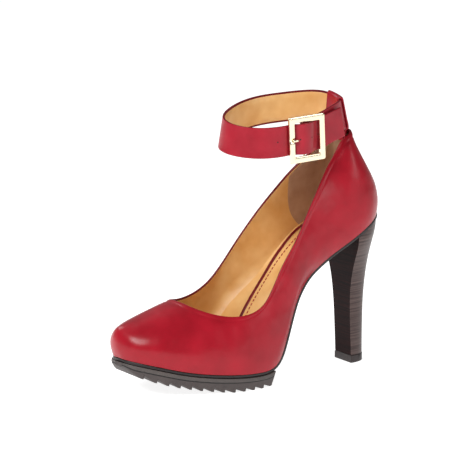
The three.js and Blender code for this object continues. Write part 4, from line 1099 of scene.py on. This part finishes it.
# %% Strap path
STRAP_WIDTH, STRAP_THICK, FOLD_THICK, ANKLE_MID_Y = 22, 1.7, 1.2, -60
STRAP = [  # x, y, z and lean
    (28.95, -57.5, 175.6, 0.03), (28.98, -60.8, 175.4, 0.03), (27.1, -63.2, 175.3, 0.03),
    (25.1, -60.8, 175.5, 0.03), (24.5, -56.8, 176.3, 0.03), (23.1, -50, 178.3, 0.02),
    (21.1, -38, 182.2, 0), (18.2, -27.4, 185.4, -0.06), (12.9, -18.3, 187.2, -0.16),
    (7, -13.6, 187.6, -0.23), (0, -12, 188.4, -0.25), (-7, -13.4, 189.9, -0.23),
    (-13.5, -17.8, 191.4, -0.14), (-21.5, -29, 191.5, -0.04), (-27.5, -44, 190.2, 0),
    (-30.3, -60, 188.8, 0), (-29.2, -76, 186.4, -0.05), (-24.2, -91, 183, -0.12),
    (-15, -103, 180, -0.16), (-3, -109.3, 177.6, -0.16), (9, -108.3, 175.6, -0.13),
    (17.8, -101.5, 174.2, -0.08), (23, -92, 173.6, -0.04), (25.2, -82, 173.8, 0),
    (25.5, -74.4, 174.3, 0.03), (25.15, -69.9, 174.6, 0.03), (27.7, -66.3, 174.9, 0.03),
    (30.7, -63.1, 175.2, 0.03), (30.8, -59.1, 175.6, 0.03), (28.1, -53.3, 176.3, 0.03),
    (25.5, -48.5, 176.9, 0.03), (25.1, -44, 178, 0.02), (24.3, -39, 179.6, 0),
    (22.1, -30, 181.9, 0), (20.3, -22.8, 183.5, 0),
]
strap_rows = np.array(STRAP, float)
strap_run = run_of(strap_rows[:, :3])
strap_end = strap_run[-1]
strap_curves = [curve(strap_run, strap_rows[:, k]) for k in range(4)]


def unit(v):
    return v / np.linalg.norm(v)


def strap_point(t):
    return np.array([float(strap_curves[k](t)) for k in range(3)])


def strap_frame(t):
    """Place, direction, width direction, outward direction and thickness at a run of t mm."""
    go = unit(strap_point(min(strap_end, t + 0.2)) - strap_point(max(0, t - 0.2)))
    p = strap_point(t)
    outward = unit(np.array([p[0], p[1] - ANKLE_MID_Y, 0]))
    up = np.array([0, 0, 1.0])
    wide = unit(unit(up - go * go[2]) + outward * float(strap_curves[3](t)))
    out = unit(np.cross(go, wide))
    part = min(1, max(0, (t - strap_run[3]) / (strap_run[4] - strap_run[3])))
    return p, go, wide, out, FOLD_THICK + (STRAP_THICK - FOLD_THICK) * part


print("strap is", round(float(strap_end)), "mm along its path")

# %% Strap body
STRAP_SECTION = [  # across the width and through the thickness, -1 to 1
    (-0.875, -0.86), (-0.9, -1), (-0.985, -0.92), (-1, -0.5), (-1, 0.5), (-0.985, 0.9), (-0.95, 1),
    (-0.9, 0.97), (-0.5, 1), (0, 1), (0.5, 1), (0.9, 0.97), (0.95, 1), (0.985, 0.9), (1, 0.5),
    (1, -0.5), (0.985, -0.92), (0.9, -1), (0.875, -0.86), (0.86, -1), (0.5, -1), (0, -1),
    (-0.5, -1), (-0.86, -1),
]
LINING_FROM, FACE_FROM, FACE_TO = 18, 5, 13
strap_marks = np.concatenate([[0, 0.25], np.arange(0.8, strap_end - 0.4, 0.9),
                              [strap_end - 0.25, strap_end]])
rings = []
for n, t in enumerate(strap_marks):
    p, _, wide, out, thick = strap_frame(float(t))
    shrink = 0.7 if n in (0, len(strap_marks) - 1) else 1
    ring = [p + wide * w * STRAP_WIDTH / 2 * (1 if shrink == 1 else 0.99) + out * o * thick / 2 * shrink
            for w, o in STRAP_SECTION]
    rings.append(np.array(ring))
points, faces, size = loft(rings)
fold_until = strap_run[3]
which = []
for k in range(len(faces) - 2):
    n, folded = k % size, strap_marks[k // size] <= fold_until
    if folded or FACE_FROM <= n < FACE_TO:
        which.append(0)
    else:
        which.append(1 if n >= LINING_FROM else 2)
which += [0, 2]
strap = piece("ankle_strap_leather", points, faces, [strap_leather, tan_lining, edge_leather],
              which, sharp=50)
hand_over(strap, "strap_leather", "ankle_strap")

# %% [markdown]
# ## Pinholes
# Five small punched holes lie along the middle of the strap for the prong. Each is drawn as
# the same little dark dish on the surface, whose darkness is painted shade for the hollow of
# the hole, repeated a hole apart, so a Geometry Nodes tree lays them on a line of points. Each
# point carries the outward direction of the strap there as a named value, and the dish is
# turned to face along it.

# %% Pinhole tree
HOLE_FROM_END, HOLE_PITCH, HOLE_COUNT, HOLE_RADIUS, DISH_HEIGHT = 26.4, 9.3, 5, 0.55, 0.12


def pinhole_tree(finish):
    tree = bpy.data.node_groups.new("pinholes", "GeometryNodeTree")
    face = tree.interface
    face.new_socket(name="Geometry", in_out="INPUT", socket_type="NodeSocketGeometry")
    face.new_socket(name="Hole Radius", in_out="INPUT", socket_type="NodeSocketFloat").default_value = 0.0006
    face.new_socket(name="Dish Height", in_out="INPUT", socket_type="NodeSocketFloat").default_value = 0.0002
    face.new_socket(name="Geometry", in_out="OUTPUT", socket_type="NodeSocketGeometry")
    start, end = node_of(tree, "NodeGroupInput"), node_of(tree, "NodeGroupOutput", (1200, 0))
    facing = node_of(tree, "GeometryNodeInputNamedAttribute", (0, -200), data_type="FLOAT_VECTOR")
    facing.inputs["Name"].default_value = "facing"
    spin = node_of(tree, "FunctionNodeAlignRotationToVector", (200, -200), axis="Z")
    dish = node_of(tree, "GeometryNodeMeshCylinder", (200, -400))
    dish.inputs["Vertices"].default_value = 16
    to_points = node_of(tree, "GeometryNodeMeshToPoints", (200, 0))
    lay = node_of(tree, "GeometryNodeInstanceOnPoints", (600, 0))
    real = node_of(tree, "GeometryNodeRealizeInstances", (800, 0))
    colour = node_of(tree, "GeometryNodeSetMaterial", (1000, 0))
    colour.inputs["Material"].default_value = finish
    link = tree.links.new
    link(start.outputs["Geometry"], to_points.inputs["Mesh"])
    link(start.outputs["Hole Radius"], dish.inputs["Radius"])
    link(start.outputs["Dish Height"], dish.inputs["Depth"])
    link(facing.outputs["Attribute"], spin.inputs["Vector"])
    link(to_points.outputs["Points"], lay.inputs["Points"])
    link(spin.outputs["Rotation"], lay.inputs["Rotation"])
    link(dish.outputs["Mesh"], lay.inputs["Instance"])
    link(lay.outputs["Instances"], real.inputs["Geometry"])
    link(real.outputs["Geometry"], colour.inputs["Geometry"])
    link(colour.outputs["Geometry"], end.inputs["Geometry"])
    return tree


# The dark dish of a hole: painted shade for its hollow.
hole_shade = hide_finish("hole_shade", shade(52, 6, 14), shade(66, 10, 18), 2, 0.2, 0.01, (0.7, 0.85))
spots, directions = [], []
for k in range(HOLE_COUNT):
    p, _, _, out, thick = strap_frame(strap_end - HOLE_FROM_END - k * HOLE_PITCH)
    spots.append((p + out * (thick / 2 - 0.04)) * MM)
    directions.append(out)
mesh = bpy.data.meshes.new("hole_points")
mesh.from_pydata([tuple(p) for p in spots], [], [])
facing = mesh.attributes.new("facing", "FLOAT_VECTOR", "POINT")
facing.data.foreach_set("vector", np.array(directions, dtype=np.float32).ravel())
holder = bpy.data.objects.new("hole_points", mesh)
bpy.context.scene.collection.objects.link(holder)
rule = holder.modifiers.new("pinholes", "NODES")
rule.node_group = pinhole_tree(hole_shade)
rule[socket_id(rule.node_group, "Hole Radius")] = HOLE_RADIUS * MM
rule[socket_id(rule.node_group, "Dish Height")] = DISH_HEIGHT * MM
holes = made_plain(holder, "pinholes")
hand_over(holes, "strap_leather")

# %% [markdown]
# ## The loop at the back
# A band of the same red leather rises from inside the neck of the shoe, passes over the
# strap and goes down again inside it, so the strap cannot slide off the heel. Its section is
# found from the strap itself: it follows the strap's own frame on both faces and dives into
# the neck at the bottom.

# %% Loop
LOOP_THICK, LOOP_HALF, LOOP_FOOT_Z, LOOP_NECK_Z = 1.3, 11.2, 166.5, 174.4
LOOP_FOOT_RADIUS, LOOP_FOOT_MID_Y, LOOP_FOOT_ANGLE = 9.2, -17.2, 0.95
strap_mid = strap_run[next(i for i, r in enumerate(STRAP) if r[0] == 0)]
off = (STRAP_THICK + LOOP_THICK) / 2 + FIT_GAP
over = STRAP_WIDTH / 2 + FIT_GAP + LOOP_THICK / 2
rings = []
loop_shares = np.concatenate([[-1, -0.985], np.linspace(-0.95, 0.95, 25), [0.985, 1]])
for u in loop_shares:
    p, go, wide, out, _ = strap_frame(strap_mid - u * LOOP_HALF)
    turn_angle = u * LOOP_FOOT_ANGLE
    sign = 1 if out[1] > 0 else -1

    def on_strap(o, w):
        return p + out * sign * o + wide * w

    def in_neck(r, z):
        return np.array([r * math.sin(turn_angle), LOOP_FOOT_MID_Y + r * math.cos(turn_angle), z])

    low = LOOP_FOOT_RADIUS - LOOP_THICK - FIT_GAP
    line = np.array([
        in_neck(LOOP_FOOT_RADIUS, LOOP_FOOT_Z), in_neck(LOOP_FOOT_RADIUS, LOOP_NECK_Z),
        on_strap(off, -STRAP_WIDTH / 2), on_strap(off, -STRAP_WIDTH / 4), on_strap(off, 0),
        on_strap(off, STRAP_WIDTH / 4), on_strap(off, over - 1.4), on_strap(off - 0.5, over - 0.4),
        on_strap(0, over), on_strap(0.5 - off, over - 0.4), on_strap(-off, over - 1.4),
        on_strap(-off, STRAP_WIDTH / 4), on_strap(-off, 0), on_strap(-off, -STRAP_WIDTH / 4),
        on_strap(-off, -STRAP_WIDTH / 2), in_neck(low, LOOP_NECK_Z), in_neck(low, LOOP_FOOT_Z),
    ])
    fine = []
    for k in range(len(line) - 1):
        before = line[max(0, k - 1)]
        after = line[min(len(line) - 1, k + 2)]
        for share_now in (0, 0.5):
            a, b = line[k], line[k + 1]
            m = share_now
            smooth = ((2 * m ** 3 - 3 * m ** 2 + 1) * a + (m ** 3 - 2 * m ** 2 + m) * (b - before) / 2
                      + (3 * m ** 2 - 2 * m ** 3) * b + (m ** 3 - m ** 2) * (after - a) / 2)
            fine.append(smooth)
    fine.append(line[-1])
    fine = np.array(fine)
    half_thick = LOOP_THICK / 2 * (0.55 if abs(u) == 1 else 1)
    face_out, face_in = [], []
    for j, q in enumerate(fine):
        ahead = fine[min(len(fine) - 1, j + 1)] - fine[max(0, j - 1)]
        normal = unit(np.cross(ahead, go))
        face_out.append(q + normal * half_thick)
        face_in.append(q - normal * half_thick)
    rings.append(np.array(face_out + face_in[::-1]))
points, faces, _ = loft(rings)
back_loop = piece("back_loop", points, faces, [strap_leather], sharp=70)
hand_over(back_loop, "strap_leather", "strap_loop")

# %% [markdown]
# ## The buckle
# The buckle is a flat rectangular frame in pale polished metal, with a bar across its middle
# that the strap folds round and a prong that rests in a small notch in the front bar. Frame
# and bar are one piece. The frame is a rounded bar section carried round a rectangle, and the
# notch is pressed into it by moving the points that lie under the prong.

# %% Polished metal
def metal_finish(name, tone, rough):
    made = bpy.data.materials.new(name)
    made.use_nodes = True
    tree = made.node_tree
    shader = tree.nodes["Principled BSDF"]
    shader.inputs["Base Color"].default_value = tone
    shader.inputs["Metallic"].default_value = 1.0
    where = node_of(tree, "ShaderNodeTexCoord", (-900, 0))
    wear = node_of(tree, "ShaderNodeTexNoise", (-700, 0))
    wear.inputs["Scale"].default_value = 400
    wear.inputs["Detail"].default_value = 4
    tree.links.new(where.outputs["Object"], wear.inputs["Vector"])
    polish = node_of(tree, "ShaderNodeMapRange", (-480, 0))
    polish.inputs["To Min"].default_value, polish.inputs["To Max"].default_value = rough
    tree.links.new(wear.outputs["Fac"], polish.inputs["Value"])
    tree.links.new(polish.outputs["Result"], shader.inputs["Roughness"])
    bump = node_of(tree, "ShaderNodeBump", (-480, -200))
    bump.inputs["Distance"].default_value = 0.004 * MM
    tree.links.new(wear.outputs["Fac"], bump.inputs["Height"])
    tree.links.new(bump.outputs["Normal"], shader.inputs["Normal"])
    return made


pale_gold = metal_finish("pale_gold", (0.9, 0.82, 0.6, 1), (0.14, 0.24))
print("metal ready")

# %% Frame, bar and prong
FRAME_LONG, FRAME_TALL, FRAME_BAR, FRAME_THICK, FRAME_CORNER = 30, 33.5, 4.4, 2.2, 1.6
FRAME_X, FRAME_MID_Y, FRAME_MID_Z, FRAME_TILT, FRAME_LEAN = 28.0, -58.4, 175.0, 0.06, 0.03
CENTRE_BAR_SHARE, CENTRE_BAR_RADIUS, CENTRE_BAR_IN = 0.42, 0.85, 0.9
BAR_END_IN, BAR_BEND, NOTCH_DEPTH, NOTCH_WIDTH = 0.2, 2.6, 0.75, 1.15
PRONG_RADIUS, PRONG_POINTS, PRONG_TAPER_FROM, PRONG_TAPER_RUN = 1.0, 30, 26, 3.1
PRONG = [(-1.2, -1.6), (-0.6, -2.9), (0.7, -4.4), (2.2, -5.7), (2.9, -7.2), (2.75, -8.8), (2.35, -10.2)]
bar_y = -FRAME_LONG / 2 + FRAME_LONG * CENTRE_BAR_SHARE
frame_turn = np.array(Matrix.Rotation(FRAME_TILT, 3, "X") @ Matrix.Rotation(FRAME_LEAN, 3, "Y"))


def placed(points):
    """From the buckle's own frame to the shoe: x through it, y along the strap, z up it."""
    return np.asarray(points) @ frame_turn.T + np.array([FRAME_X, FRAME_MID_Y, FRAME_MID_Z])


def rounded_loop(long, tall, radius, side_points=26, corner_points=6):
    """Rounded rectangle with the same count of points whatever its size."""
    a, b = long / 2, tall / 2
    loop = []
    for cx, cy, from_angle in ((a - radius, -b + radius, -90), (a - radius, b - radius, 0),
                               (-a + radius, b - radius, 90), (-a + radius, -b + radius, 180)):
        for k in range(corner_points):
            turn_by = math.radians(from_angle + 90 * k / (corner_points - 1))
            loop.append((cx + radius * math.cos(turn_by), cy + radius * math.sin(turn_by)))
        loop.append(None)
    full = []
    for i, q in enumerate(loop):
        if q is not None:
            full.append(q)
            continue
        a0, b0 = loop[i - 1], loop[(i + 1) % len(loop)]
        for k in range(1, side_points):
            m = k / side_points
            full.append((a0[0] * (1 - m) + b0[0] * m, a0[1] * (1 - m) + b0[1] * m))
    return full


half = FRAME_THICK / 2
BAR_SECTION = [  # inward from the outer edge, through the thickness
    (0.5, half), (0.15, half - 0.12), (0, half - 0.5), (0, -half + 0.5), (0.15, -half + 0.12), (0.5, -half),
    (FRAME_BAR - 0.4, -half), (FRAME_BAR - 0.1, -half + 0.1), (FRAME_BAR, -half + 0.4),
    (FRAME_BAR, half - 0.4), (FRAME_BAR - 0.1, half - 0.1), (FRAME_BAR - 0.4, half),
    (FRAME_BAR / 2, half + 0.03),
]
rings = []
for inward, through in BAR_SECTION:
    corner = max(0.8, FRAME_CORNER - inward)
    loop = rounded_loop(FRAME_LONG - 2 * inward, FRAME_TALL - 2 * inward, corner)
    rings.append([(through, u, v) for u, v in loop])
rings = np.array(rings)
notch = (rings[..., 1] < -FRAME_LONG / 2 + FRAME_BAR + 0.2) & (rings[..., 0] > 0)
rings[..., 0] -= np.where(notch, NOTCH_DEPTH * np.exp(-(rings[..., 2] / NOTCH_WIDTH) ** 2), 0)
count, size = rings.shape[:2]
points = [tuple(p) for p in placed(rings.reshape(-1, 3))]
faces = net_faces(count, size, wrap_rows=True, wrap_columns=True)
reach = FRAME_TALL / 2 - FRAME_BAR * 0.6
bar_line = np.array([(-BAR_END_IN, bar_y, -reach), (-CENTRE_BAR_IN, bar_y, -reach + BAR_BEND),
                     (-CENTRE_BAR_IN, bar_y, reach - BAR_BEND), (-BAR_END_IN, bar_y, reach)])


def round_tube(line, radii, sides=16):
    rings = []
    for i, p in enumerate(line):
        go = unit(line[min(len(line) - 1, i + 1)] - line[max(0, i - 1)])
        first = np.array([0, 1.0, 0]) if abs(go[2]) > 0.7 else np.array([0, 0, 1.0])
        first = unit(first - go * float(first @ go))
        second = np.cross(go, first)
        a = np.linspace(0, 2 * np.pi, sides, endpoint=False)
        rings.append(p + radii[i] * (np.outer(np.cos(a), first) + np.outer(np.sin(a), second)))
    return loft(rings)


bar_points, bar_faces, _ = round_tube(even(bar_line, 12), [CENTRE_BAR_RADIUS] * 12)
start = len(points)
points += [tuple(p) for p in placed(bar_points)]
faces += [tuple(start + v for v in f) for f in bar_faces]
buckle = piece("buckle", points, faces, [pale_gold], sharp=40)
hand_over(buckle, "buckle_metal", "buckle_frame")

table = np.array(PRONG)
place_out = curve(range(len(PRONG)), table[:, 0])
place_along = curve(range(len(PRONG)), table[:, 1])
steps = np.linspace(0, len(PRONG) - 1, PRONG_POINTS)
prong_line = np.array([(-CENTRE_BAR_IN + float(place_out(t)), bar_y + float(place_along(t)), 0)
                       for t in steps])
radii = []
for i in range(PRONG_POINTS):
    taper = max(0, (i - PRONG_TAPER_FROM) / PRONG_TAPER_RUN)
    radii.append(PRONG_RADIUS * (0.55 if i == 0 else math.sqrt(max(0.06, 1 - taper ** 2))))
prong_points, prong_faces, _ = round_tube(prong_line, radii)
prong = piece("prong", placed(prong_points), prong_faces, [pale_gold], sharp=60)
hand_over(prong, "buckle_metal", "buckle_prong")
